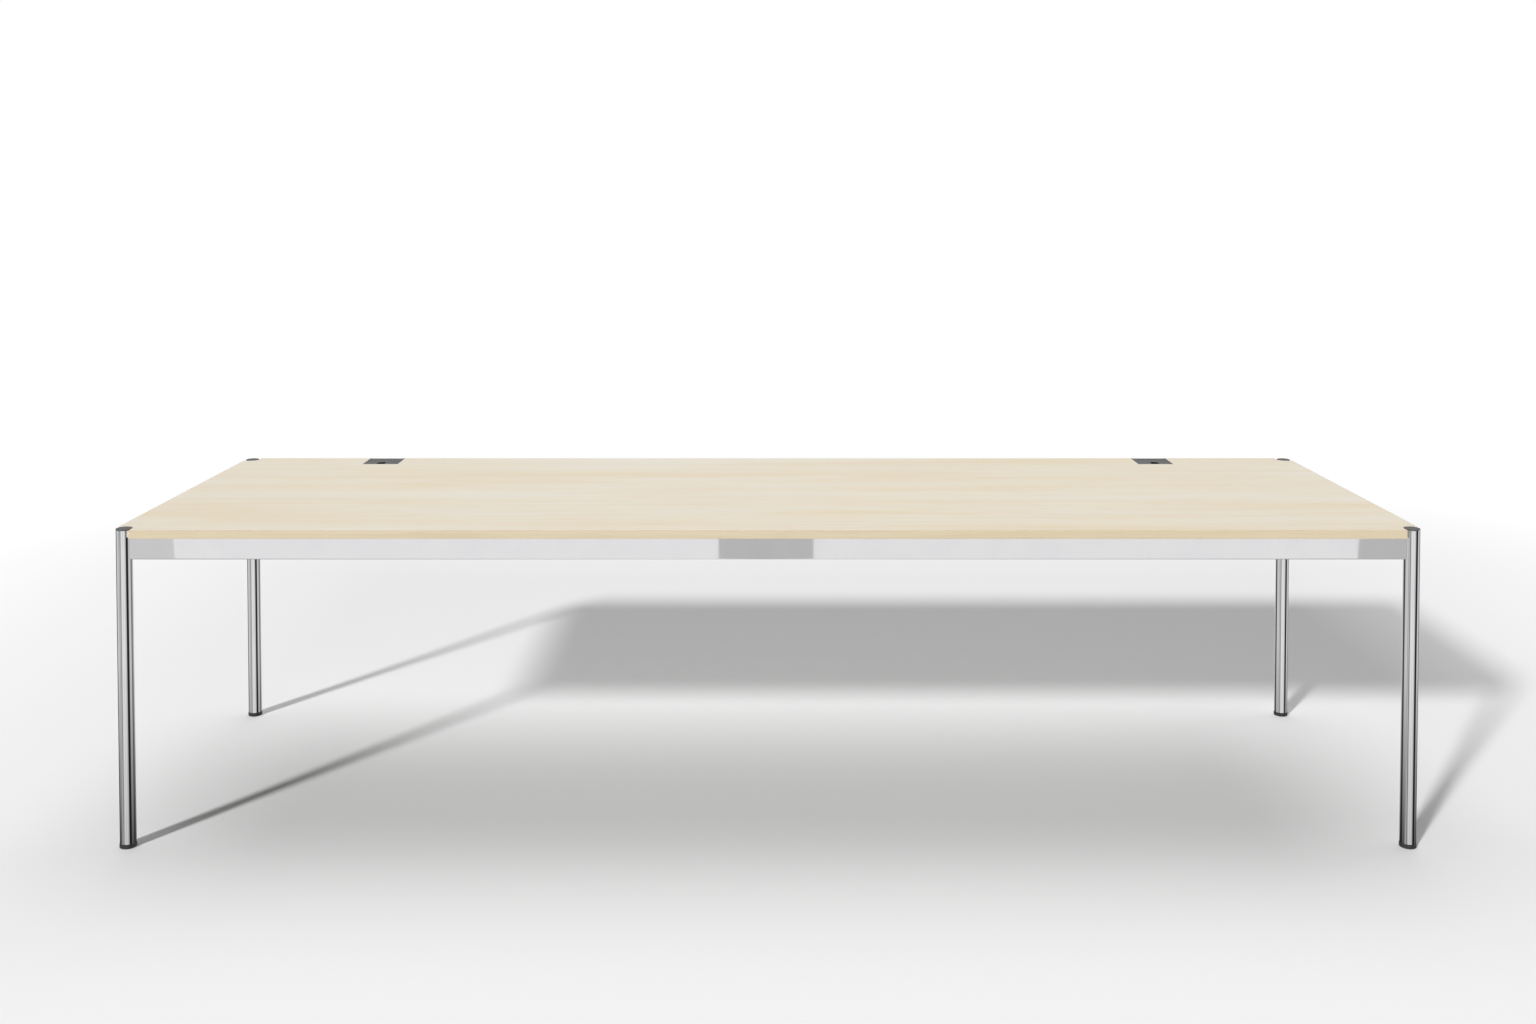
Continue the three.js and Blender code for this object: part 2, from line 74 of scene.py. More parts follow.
# Steps round a lathed piece, round a small one and in a rounding
LATHE_STEPS = 96
SMALL_STEPS = 48
SEAM_STEPS = 1
FINE_STEPS = 2
ROUND_STEPS = 3
RIM_STEPS = 4

# What counts as one point, a touch, one flat face, a sharp edge, a square edge and a level face
MERGE_GAP = 0.001 * MM
TOUCH = 0.01 * MM
FLAT_ANGLE = math.radians(0.5)
SHARP_ANGLE = math.radians(35)
SQUARE_ANGLE = math.radians(60)
LEVEL_NORMAL = 0.9

# How far a cutter, or a rod that is joined on, reaches past a face
OVERRUN = 1 * MM

# The Mix node's sockets for colours, which follow those for numbers and vectors
MIX_FIRST = 6
MIX_SECOND = 7
MIX_RESULT = 2

# The curve by which a screen shows light as tones
SCREEN_OFFSET = 0.055
SCREEN_POWER = 2.4


class Corner(Enum):
    """The four corners of the table, each with the side of the table it lies on."""

    FRONT_LEFT = ("front_left", -1, -1)
    FRONT_RIGHT = ("front_right", 1, -1)
    BACK_LEFT = ("back_left", -1, 1)
    BACK_RIGHT = ("back_right", 1, 1)

    @property
    def label(self) -> str:
        """The corner's part of a node's name."""
        return self.value[0]

    @property
    def inward(self) -> float:
        """The angle about Z from +X to the diagonal that points into the table."""
        return math.atan2(-self.value[2], -self.value[1])


class Slot(Enum):
    """The record's material slots."""

    WOOD_TOP = "wood_top"
    WOOD_EDGE = "wood_edge"
    CHROME = "chrome"
    ZINC = "zinc_steel"
    GREY = "grey_plastic"
    BLACK = "black_plastic"


# Mesh helpers


def middle_of(node: str) -> Vector:
    """Return the middle of a node's box."""
    low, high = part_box(node)
    return (low + high) / 2


def radius_of(node: str) -> float:
    """Return the radius of a round node that stands upright."""
    low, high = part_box(node)
    return (high.x - low.x) / 2


def is_level(edge: Edge) -> bool:
    """Tell whether both ends of an edge are at one height."""
    return edge.verts[0].co.z == edge.verts[1].co.z


def sharp_edges(shape: Shape, angle: float = SHARP_ANGLE) -> list[Edge]:
    """Return the edges at which two faces meet at more than an angle, in radians."""
    return [edge for edge in shape.edges if edge.calc_face_angle(0.0) > angle]


def round_over(shape: Shape, edges: Iterable[Edge], radius: float, segments: int = ROUND_STEPS) -> None:
    """Round a mesh's edges.

    Args:
        shape: The mesh, changed in place.
        edges: The edges to round.
        radius: How far each rounding reaches on to the faces beside it.
        segments: The number of steps in a rounding.
    """
    bmesh.ops.bevel(
        shape,
        geom=list(edges),
        offset=radius,
        offset_type="OFFSET",
        segments=segments,
        profile=0.5,
        affect="EDGES",
        material=-1,
        clamp_overlap=True,
    )


def settle(shape: Shape) -> Shape:
    """Merge a mesh's doubled vertices and turn its faces outwards.

    Args:
        shape: The mesh, changed in place.

    Returns:
        The same mesh.
    """
    bmesh.ops.remove_doubles(shape, verts=shape.verts, dist=MERGE_GAP)
    bmesh.ops.recalc_face_normals(shape, faces=shape.faces)
    return shape


def plate(outline: Profile, low: float, high: float) -> Shape:
    """Raise a plan outline into a plate.

    Args:
        outline: The corners of the outline in X and Y.
        low: The height of its underside.
        high: The height of its top.

    Returns:
        The closed plate.
    """
    shape = bmesh.new()
    base = shape.faces.new([shape.verts.new((x, y, low)) for x, y in outline])
    grown = bmesh.ops.extrude_face_region(shape, geom=[base])["geom"]
    raised = [item for item in grown if isinstance(item, bmesh.types.BMVert)]
    bmesh.ops.translate(shape, verts=raised, vec=(0, 0, high - low))
    return settle(shape)


def block(low: Vector, high: Vector) -> Shape:
    """Make a box between two corners.

    Args:
        low: The lowest corner.
        high: The highest corner.

    Returns:
        The closed box.
    """
    shape = bmesh.new()
    place = Matrix.Translation((low + high) / 2) @ Matrix.Diagonal((*(high - low), 1))
    bmesh.ops.create_cube(shape, size=1, matrix=place)
    return shape


def turned(profile: Profile, steps: int = LATHE_STEPS, closed: bool = False) -> Shape:
    """Turn a profile about Z.

    Args:
        profile: The radius and height of each corner, from axis to axis or all round a ring.
        steps: The number of steps round the axis.
        closed: Whether the profile's last corner joins its first, as on a ring.

    Returns:
        The closed turned piece.
    """
    shape = bmesh.new()
    corners = [shape.verts.new((radius, 0, height)) for radius, height in profile]
    pairs = list(zip(corners, corners[1:]))
    if closed:
        pairs.append((corners[-1], corners[0]))
    edges = [shape.edges.new(pair) for pair in pairs]
    bmesh.ops.spin(
        shape,
        geom=corners + edges,
        cent=(0, 0, 0),
        axis=(0, 0, 1),
        angle=math.tau,
        steps=steps,
        use_merge=True,
    )
    return settle(shape)


def rod(radius: float, start: Vector, end: Vector, steps: int = SMALL_STEPS) -> Shape:
    """Make a round rod between two points.

    Args:
        radius: The rod's radius.
        start: The middle of its first end.
        end: The middle of its other end.
        steps: The number of facets round it.

    Returns:
        The closed rod.
    """
    shape = bmesh.new()
    turn = (end - start).to_track_quat("Z", "Y").to_matrix().to_4x4()
    place = Matrix.Translation((start + end) / 2) @ turn
    bmesh.ops.create_cone(
        shape,
        cap_ends=True,
        segments=steps,
        radius1=radius,
        radius2=radius,
        depth=(end - start).length,
        matrix=place,
    )
    return shape


def mesh_of(shape: Shape, name: str) -> bpy.types.Mesh:
    """Store a working mesh as mesh data, and free it.

    Args:
        shape: The working mesh.
        name: The name of the data.

    Returns:
        The mesh data.
    """
    data = bpy.data.meshes.new(name)
    shape.to_mesh(data)
    shape.free()
    return data


def put(name: str, data: bpy.types.ID) -> bpy.types.Object:
    """Put data into the scene as an object at the origin.

    Args:
        name: The object's name.
        data: Its mesh, light or camera.

    Returns:
        The object.
    """
    made = bpy.data.objects.new(name, data)
    bpy.context.scene.collection.objects.link(made)
    return made


class Cut(Enum):
    """What a tool does to a mesh."""

    TAKE_AWAY = "DIFFERENCE"
    JOIN = "UNION"


def worked(shape: Shape, tools: Iterable[Shape], cut: Cut) -> Shape:
    """Cut tools out of a mesh, or join them to it, one after another.

    Args:
        shape: The mesh, freed here.
        tools: The meshes that cut it or join it, freed here.
        cut: Whether the tools cut or join.

    Returns:
        The new mesh.
    """
    stock = put("stock", mesh_of(shape, "stock"))
    cutters = [put("cutter", mesh_of(tool, "cutter")) for tool in tools]
    for cutter in cutters:
        step = stock.modifiers.new("work", "BOOLEAN")
        step.object = cutter
        step.operation = cut.value
        step.solver = "EXACT"
    shown = stock.evaluated_get(bpy.context.evaluated_depsgraph_get())
    result = bmesh.new()
    result.from_mesh(shown.to_mesh())
    shown.to_mesh_clear()
    for used in [stock, *cutters]:
        data = used.data
        bpy.data.objects.remove(used)
        bpy.data.meshes.remove(data)
    return result


def add_piece(
    name: str, shape: Shape, finish: "Finish", node: str, body: str = "table"
) -> bpy.types.Object:
    """Turn a working mesh into a finished piece of the table.

    Args:
        name: The piece's name.
        shape: The working mesh, freed here.
        finish: The finish it is dressed in.
        node: The frame's node that it stands for.
        body: The body that it moves with.

    Returns:
        The finished object.
    """
    data = mesh_of(shape, name)
    data.shade_smooth()
    data.set_sharp_from_angle(angle=SHARP_ANGLE)
    data.materials.append(finish.material())
    piece = put(name, data)
    normals = piece.modifiers.new("even_faces", "WEIGHTED_NORMAL")
    normals.keep_sharp = True
    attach(piece, body)
    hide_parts(node)
    log.info("piece %s: %d faces, on %s", name, len(data.polygons), body)
    return piece


def refine_node(node: str, name: str, finish: "Finish", rounding: float = 0.0) -> None:
    """Make a finished piece from a copy of a node's own mesh, with its flat faces whole again.

    Args:
        node: The frame's node.
        name: The piece's name.
        finish: The finish it is dressed in.
        rounding: The rounding of its sharp edges, or 0 to leave them.
    """
    shape = bmesh.new()
    shape.from_mesh(frame["nodes"][node].data)
    settle(shape)
    bmesh.ops.dissolve_limit(
        shape,
        angle_limit=FLAT_ANGLE,
        verts=shape.verts,
        edges=shape.edges,
        use_dissolve_boundaries=False,
    )
    if rounding:
        round_over(shape, sharp_edges(shape), rounding, FINE_STEPS)
    for face in shape.faces:
        face.material_index = 0
    add_piece(name, shape, finish, node)


# Shader helpers


def grey(value: float) -> Triple:
    """Return a grey of the given light."""
    return (value, value, value)


@dataclass(frozen=True)
class Wiring:
    """The nodes of a material, a world or a node group, with ways to add to them.

    Attributes:
        tree: The node tree.
    """

    tree: Tree

    @classmethod
    def afresh(cls, owner: bpy.types.Material | bpy.types.World) -> "Wiring":
        """Clear the nodes of a material or world.

        Args:
            owner: The material or world.

        Returns:
            Its empty wiring.
        """
        owner.use_nodes = True
        owner.node_tree.nodes.clear()
        return cls(owner.node_tree)

    def feed(self, socket: Socket, value: Given) -> None:
        """Link an input, or set what it holds.

        Args:
            socket: The input.
            value: The socket that feeds it, or the number, vector or colour that it holds.
        """
        if isinstance(value, Socket):
            self.tree.links.new(value, socket)
        elif socket.type == "RGBA":
            socket.default_value = (*value, 1)
        else:
            socket.default_value = value

    def add(self, kind: str, *inputs: Given, **named: Given) -> Node:
        """Add a node.

        Args:
            kind: The node's type, without its ShaderNode prefix.
            inputs: What feeds its first inputs, in their order.
            named: What feeds its other inputs, by name, where underscores stand for spaces.

        Returns:
            The node.
        """
        node = self.tree.nodes.new(f"ShaderNode{kind}")
        for socket, value in zip(node.inputs, inputs):
            self.feed(socket, value)
        for label, value in named.items():
            self.feed(node.inputs[label.replace("_", " ")], value)
        return node

    def reckon(self, operation: str, *values: Given) -> Socket:
        """Add a calculation with numbers.

        Args:
            operation: What is done to them.
            values: The numbers.

        Returns:
            The result.
        """
        node = self.add("Math", *values)
        node.operation = operation
        return node.outputs["Value"]

    def reckon_vector(self, operation: str, *values: Given, result: str = "Vector") -> Socket:
        """Add a calculation with vectors.

        Args:
            operation: What is done to them.
            values: The vectors.
            result: The output that has the result.

        Returns:
            The result.
        """
        node = self.add("VectorMath", *values)
        node.operation = operation
        return node.outputs[result]

    def remap(self, value: Socket, source: Pair, target: Pair = UNIT) -> Socket:
        """Return a value carried from the source's range to the target's, held at the ends."""
        return self.add("MapRange", value, *source, *target).outputs["Result"]

    def mix(self, share: Socket, first: Given, second: Given) -> Socket:
        """Blend two colours.

        Args:
            share: The share of the second colour.
            first: The first colour.
            second: The second colour.

        Returns:
            The blended colour.
        """
        node = self.add("Mix", share)
        node.data_type = "RGBA"
        self.feed(node.inputs[MIX_FIRST], first)
        self.feed(node.inputs[MIX_SECOND], second)
        return node.outputs[MIX_RESULT]

    def bump(self, height: Socket, depth: float) -> Socket:
        """Return the normal of a surface with a fine relief, whose depth is in metres."""
        return self.add("Bump", Height=height, Strength=1.0, Distance=depth).outputs["Normal"]


@dataclass(frozen=True)
class Pattern:
    """A noise with its own scale on each axis.

    Attributes:
        stretch: Its frequency along each axis, in features per metre.
        detail: The number of finer layers.
        blur: How strongly the finer layers show.
        shown: The values between which its mask goes from 0 to 1.
    """

    stretch: Triple
    detail: float = 2.0
    blur: float = 0.5
    shown: Pair = UNIT

    def noise(self, wiring: Wiring, place: Socket) -> Socket:
        """Add the noise itself.

        Args:
            wiring: What it is added to.
            place: The coordinates that it reads.

        Returns:
            The noise, from 0 to 1.
        """
        stretched = wiring.add("Mapping", Vector=place, Scale=self.stretch).outputs["Vector"]
        settings = {"Scale": 1.0, "Detail": self.detail, "Roughness": self.blur}
        return wiring.add("TexNoise", Vector=stretched, **settings).outputs["Fac"]

    def mask(self, wiring: Wiring, place: Socket) -> Socket:
        """Return the noise's mask at a place, added to a wiring."""
        return wiring.remap(self.noise(wiring, place), self.shown)


@dataclass(frozen=True)
class Effect:
    """An effect that several finishes share, as a shader node group that is made once.

    Attributes:
        name: The group's name.
    """

    name: str

    def draw(self, wiring: Wiring, place: Socket) -> dict[str, Socket]:
        """Add the effect's nodes to its group, and return what the group puts out, by name."""
        raise NotImplementedError

    def group(self) -> Tree:
        """Make the effect's group, or fetch it once it is there.

        Returns:
            The group.
        """
        if self.name in bpy.data.node_groups:
            return bpy.data.node_groups[self.name]
        group = bpy.data.node_groups.new(self.name, "ShaderNodeTree")
        group.interface.new_socket(name="Vector", in_out="INPUT", socket_type="NodeSocketVector")
        wiring = Wiring(group)
        drawn = self.draw(wiring, group.nodes.new("NodeGroupInput").outputs["Vector"])
        for label in drawn:
            group.interface.new_socket(name=label, in_out="OUTPUT", socket_type="NodeSocketFloat")
        ends = group.nodes.new("NodeGroupOutput").inputs
        for label, value in drawn.items():
            wiring.feed(ends[label], value)
        return group

    def use(self, wiring: Wiring, place: Socket) -> bpy.types.bpy_prop_collection:
        """Place the effect in a material.

        Args:
            wiring: The material's nodes.
            place: The coordinates that the effect reads.

        Returns:
            The effect's outputs, by name.
        """
        node = wiring.add("Group")
        node.node_tree = self.group()
        wiring.feed(node.inputs["Vector"], place)
        return node.outputs


@dataclass(frozen=True)
class WoodGrain(Effect):
    """Broad bands, fine streaks and short pores that run along X and sway a little.

    Attributes:
        sway: The pattern of the sway.
        sway_reach: How far it sways to either side.
        bands: The pattern of the bands.
        streaks: The pattern of the streaks.
        pores: The pattern of the pores.
        pore_depth: How deep the pores are sunk, as a share of the streaks' height.
    """

    sway: Pattern = Pattern((0.9, 3.0, 3.0))
    sway_reach: float = 20 * MM
    bands: Pattern = Pattern((0.9, 8.0, 8.0), 5.0, 0.66, (0.36, 0.64))
    streaks: Pattern = Pattern((1.1, 150.0, 150.0), 4.0, 0.62, (0.35, 0.68))
    pores: Pattern = Pattern((9.0, 620.0, 620.0), shown=(0.60, 0.74))
    pore_depth: float = 0.7

    def draw(self, wiring: Wiring, place: Socket) -> dict[str, Socket]:
        """Add the grain's nodes to its group.

        Args:
            wiring: The group's nodes.
            place: The coordinates that it reads.

        Returns:
            The masks Bands, Streaks and Pores, and the relief Height.
        """
        bend = wiring.remap(self.sway.noise(wiring, place), UNIT, (-self.sway_reach, self.sway_reach))
        offset = wiring.add("CombineXYZ", Y=bend).outputs["Vector"]
        line = wiring.reckon_vector("ADD", place, offset)
        streaks = self.streaks.mask(wiring, line)
        pores = self.pores.mask(wiring, line)
        height = wiring.reckon("MULTIPLY_ADD", pores, -self.pore_depth, streaks)
        bands = self.bands.mask(wiring, line)
        return {"Bands": bands, "Streaks": streaks, "Pores": pores, "Height": height}


@dataclass(frozen=True)
class HandlingMarks(Effect):
    """The faint marks of use: soft clouds of wiped dust and fine polishing lines.

    Attributes:
        clouds: The pattern of the clouds.
        lines: The pattern of the lines.
    """

    clouds: Pattern = Pattern((14.0, 14.0, 14.0), 4.0, 0.55, (0.35, 0.7))
    lines: Pattern = Pattern((900.0, 900.0, 25.0), shown=(0.35, 0.7))

    def draw(self, wiring: Wiring, place: Socket) -> dict[str, Socket]:
        """Return the masks Clouds and Lines at a place, added to the group's wiring."""
        return {"Clouds": self.clouds.mask(wiring, place), "Lines": self.lines.mask(wiring, place)}


GRAIN = WoodGrain("wood grain")
MARKS = HandlingMarks("handling marks")


@dataclass(frozen=True)
class Finish:
    """A finish, which makes its material once and hands it out after that.

    Attributes:
        name: The material's name.
        slot: The record's slot that it stands for.
    """

    name: str
    slot: Slot

    def material(self) -> bpy.types.Material:
        """Make the finish's material, or fetch it once it is there.

        Returns:
            The material.
        """
        if self.name in bpy.data.materials:
            return bpy.data.materials[self.name]
        made = bpy.data.materials.new(self.name)
        wiring = Wiring.afresh(made)
        place = wiring.add("TexCoord").outputs["Object"]
        surface = wiring.add("BsdfPrincipled", **self.inputs(wiring, place))
        wiring.add("OutputMaterial", Surface=surface.outputs["BSDF"])
        return made

    def inputs(self, wiring: Wiring, place: Socket) -> dict[str, Given]:
        """Add the finish's own nodes, and return what feeds the surface shader, by name."""
        raise NotImplementedError


@dataclass(frozen=True)
class WoodFinish(Finish):
    """Pale maple with its grain along X, or along Y where it is turned.

    Attributes:
        base: The main colour.
        light: The colour of the lighter bands.
        dark: The colour of streaks and pores.
        turn: How far the grain is turned about Z.
        gloss: The roughness of the satin lacquer where it is wiped, and where it is dusty.
        specular: The strength of its reflections.
        streak_start: The value at which streaks start to show.
        streak_share: How strongly the strongest streaks show.
        pore_share: How strongly the pores show.
        relief: The depth of the grain.
    """

    base: Triple
    light: Triple
    dark: Triple
    turn: float = 0.0
    gloss: Pair = (0.38, 0.47)
    specular: float = 0.35
    streak_start: float = 0.45
    streak_share: float = 0.34
    pore_share: float = 0.5
    relief: float = 0.03 * MM

    def inputs(self, wiring: Wiring, place: Socket) -> dict[str, Given]:
        """Add bands, streaks, pores and a satin lacquer.

        Args:
            wiring: The material's nodes.
            place: The coordinates on the piece.

        Returns:
            What feeds the surface shader's inputs, by name.
        """
        along = wiring.add("Mapping", Vector=place, Rotation=(0, 0, self.turn)).outputs["Vector"]
        grain = GRAIN.use(wiring, along)
        clouds = MARKS.use(wiring, place)["Clouds"]
        banded = wiring.mix(grain["Bands"], self.base, self.light)
        streaks = wiring.remap(grain["Streaks"], (self.streak_start, 1.0), (0.0, self.streak_share))
        streaked = wiring.mix(streaks, banded, self.dark)
        pores = wiring.remap(grain["Pores"], UNIT, (0.0, self.pore_share))
        return {
            "Base Color": wiring.mix(pores, streaked, self.dark),
            "Roughness": wiring.remap(clouds, UNIT, self.gloss),
            "Specular IOR Level": self.specular,
            "Normal": wiring.bump(grain["Height"], self.relief),
        }


@dataclass(frozen=True)
class MetalFinish(Finish):
    """Plated or bare metal with faint handling marks.

    Attributes:
        base: The metal's colour.
        tarnish: The colour of its duller clouds.
        gloss: The roughness of its clean and of its dull parts.
        relief: The depth of its finest relief, or 0 for a flat polish.
    """

    base: Triple
    tarnish: Triple
    gloss: Pair
    relief: float = 0.0

    def inputs(self, wiring: Wiring, place: Socket) -> dict[str, Given]:
        """Add the metal, duller in soft clouds and along fine lines.

        Args:
            wiring: The material's nodes.
            place: The coordinates on the piece.

        Returns:
            What feeds the surface shader's inputs, by name.
        """
        marks = MARKS.use(wiring, place)
        dull = wiring.reckon("MULTIPLY", marks["Clouds"], marks["Lines"])
        feeds = {
            "Base Color": wiring.mix(marks["Clouds"], self.base, self.tarnish),
            "Metallic": 1.0,
            "Roughness": wiring.remap(dull, UNIT, self.gloss),
        }
        if self.relief:
            feeds["Normal"] = wiring.bump(marks["Lines"], self.relief)
        return feeds


@dataclass(frozen=True)
class PlasticFinish(Finish):
    """Moulded plastic with a fine even grain.

    Attributes:
        base: The main colour.
        worn: The colour of paler, wiped patches.
        gloss: The roughness of wiped and of grained parts.
        specular: The strength of its reflections, 0.5 for plain plastic.
        grain: The pattern of the moulded grain.
        relief: The grain's depth.
        wear: How strongly the wiped patches show.
        speckle: How strongly the grain shows in the colour.
    """

    base: Triple
    worn: Triple
    gloss: Pair
    specular: float = 0.5
    grain: Pattern = Pattern((1800.0, 1800.0, 1800.0), shown=(0.4, 0.65))
    relief: float = 0.04 * MM
    wear: float = 0.6
    speckle: float = 0.3

    def inputs(self, wiring: Wiring, place: Socket) -> dict[str, Given]:
        """Add the grained plastic with paler clouds.

        Args:
            wiring: The material's nodes.
            place: The coordinates on the piece.

        Returns:
            What feeds the surface shader's inputs, by name.
        """
        clouds = MARKS.use(wiring, place)["Clouds"]
        grain = self.grain.noise(wiring, place)
        shade = wiring.mix(wiring.remap(clouds, UNIT, (0.0, self.wear)), self.base, self.worn)
        speckles = wiring.remap(grain, self.grain.shown, (0.0, self.speckle))
        return {
            "Base Color": wiring.mix(speckles, shade, self.worn),
            "Roughness": wiring.remap(clouds, UNIT, self.gloss),
            "Specular IOR Level": self.specular,
            "Normal": wiring.bump(grain, self.relief),
        }


MAPLE = WoodFinish(
    "maple face",
    Slot.WOOD_TOP,
    base=(0.815, 0.705, 0.525),
    light=(0.835, 0.785, 0.68),
    dark=(0.68, 0.56, 0.38),
)
# The edge bands' colours are the top's maple darkened as painted shade: they are set lower than the top's
# because their upright faces take more of the key light.
MAPLE_EDGE_PAINTED_SHADE = WoodFinish(
    "maple edge painted shade",
    Slot.WOOD_EDGE,
    base=(0.575, 0.485, 0.337),
    light=(0.60, 0.515, 0.375),
    dark=(0.48, 0.38, 0.235),
)
MAPLE_END_PAINTED_SHADE = WoodFinish(
    "maple end edge painted shade",
    Slot.WOOD_EDGE,
    base=MAPLE_EDGE_PAINTED_SHADE.base,
    light=MAPLE_EDGE_PAINTED_SHADE.light,
    dark=MAPLE_EDGE_PAINTED_SHADE.dark,
    turn=math.pi / 2,
)
CHROME = MetalFinish(
    "polished chrome",
    Slot.CHROME,
    base=(0.90, 0.90, 0.91),
    tarnish=(0.87, 0.87, 0.885),
    gloss=(0.012, 0.035),
)
ZINC = MetalFinish(
    "zinc plate",
    Slot.ZINC,
    base=(0.62, 0.62, 0.60),
    tarnish=(0.48, 0.48, 0.47),
    gloss=(0.28, 0.48),
    relief=0.01 * MM,
)
GREY = PlasticFinish(
    "grey plastic", Slot.GREY, base=(0.07, 0.07, 0.072), worn=(0.10, 0.10, 0.102), gloss=(0.55, 0.45)
)
BACKING = PlasticFinish(
    "backing sheet", Slot.WOOD_TOP, base=(0.30, 0.29, 0.27), worn=(0.34, 0.33, 0.31), gloss=(0.65, 0.55)
)
BLACK = PlasticFinish(
    "black plastic", Slot.BLACK, base=(0.018, 0.018, 0.019), worn=(0.035, 0.035, 0.036), gloss=(0.5, 0.42)
)
# Near-black painted shade for the upright walls of the lids' cable notches, which are grey plastic like
# the rest of the lid.
NOTCH_PAINTED_SHADE = PlasticFinish(
    "notch painted shade", Slot.GREY, base=grey(0.004), worn=grey(0.008), gloss=(0.8, 0.7), specular=0.1
)


# The table's sub-assemblies


@dataclass
class TableTop:
    """The board, notched for the legs and outlets, with the bands on its edges.

    Attributes:
        edge_round: The rounding of the bands' outer edges.
        seam_round: The fine rounding where the board and the bands meet.
        notch_steps: The number of steps in a notch's round corner.
    """

    edge_round: float = 1.2 * MM
    seam_round: float = 0.12 * MM
    notch_steps: int = 16

    def build(self) -> None:
        """Build the board and its bands."""
        self.build_board()
        # The bands take the maple darkened as painted shade.
        for side in ("front", "back_left", "back_middle", "back_right"):
            self.build_band(side, MAPLE_EDGE_PAINTED_SHADE)
        for side in ("left", "right"):
            self.build_band(side, MAPLE_END_PAINTED_SHADE)

    def notch(self) -> Pair:
        """Return the X and Y of the legs' notches on the right, as the bands' ends give them."""
        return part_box("edge_band_front")[1].x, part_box("edge_band_right")[1].y

    def outline(self) -> Profile:
        """Work out the board's plan from its node and those of the bands and outlets.

        Returns:
            The corners of the plan, with square notches.
        """
        low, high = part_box("top_board")
        notch_x, notch_y = self.notch()
        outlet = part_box("outlet_frame_right")[0]
        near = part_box("edge_band_back_middle")[1].x
        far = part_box("edge_band_back_right")[0].x
        front = outlet.y - (outlet.x - near)
        right = [
            (notch_x, low.y),
            (notch_x, -notch_y),
            (high.x, -notch_y),
            (high.x, notch_y),
            (notch_x, notch_y),
            (notch_x, high.y),
            (far, high.y),
            (far, front),
            (near, front),
            (near, high.y),
        ]
        return right + [(-x, y) for x, y in reversed(right)]

    def build_board(self) -> None:
        """Build the board, with round notches for the legs and a plain backing underneath."""
        low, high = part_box("top_board")
        shape = plate(self.outline(), low.z, high.z)
        notch = self.notch()
        corners = [
            edge
            for edge in shape.edges
            if all(math.dist(map(abs, vert.co.xy), notch) < TOUCH for vert in edge.verts)
        ]
        round_over(shape, corners, middle_of("leg_tube_front_right").x - notch[0], self.notch_steps)
        rims = [edge for edge in sharp_edges(shape) if is_level(edge)]
        round_over(shape, rims, self.seam_round, SEAM_STEPS)
        board = add_piece("board", shape, MAPLE, "top_board")
        board.data.materials.append(BACKING.material())
        for face in board.data.polygons:
            if face.normal.z < -LEVEL_NORMAL:
                face.material_index = 1

    def build_band(self, side: str, finish: Finish) -> None:
        """Build one edge band.

        Args:
            side: The side of the board that it is glued to.
            finish: Its finish.
        """
        node = f"edge_band_{side}"
        low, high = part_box(node)
        shape = block(low, high)
        across = 0 if side in ("left", "right") else 1
        outer = max(abs(low[across]), abs(high[across]))
        rims = [
            edge
            for edge in shape.edges
            if is_level(edge) and all(abs(abs(vert.co[across]) - outer) < TOUCH for vert in edge.verts)
        ]
        round_over(shape, rims, self.edge_round, RIM_STEPS)
        round_over(shape, sharp_edges(shape, SQUARE_ANGLE), self.seam_round, SEAM_STEPS)
        add_piece(f"{side}_edge", shape, finish, node)


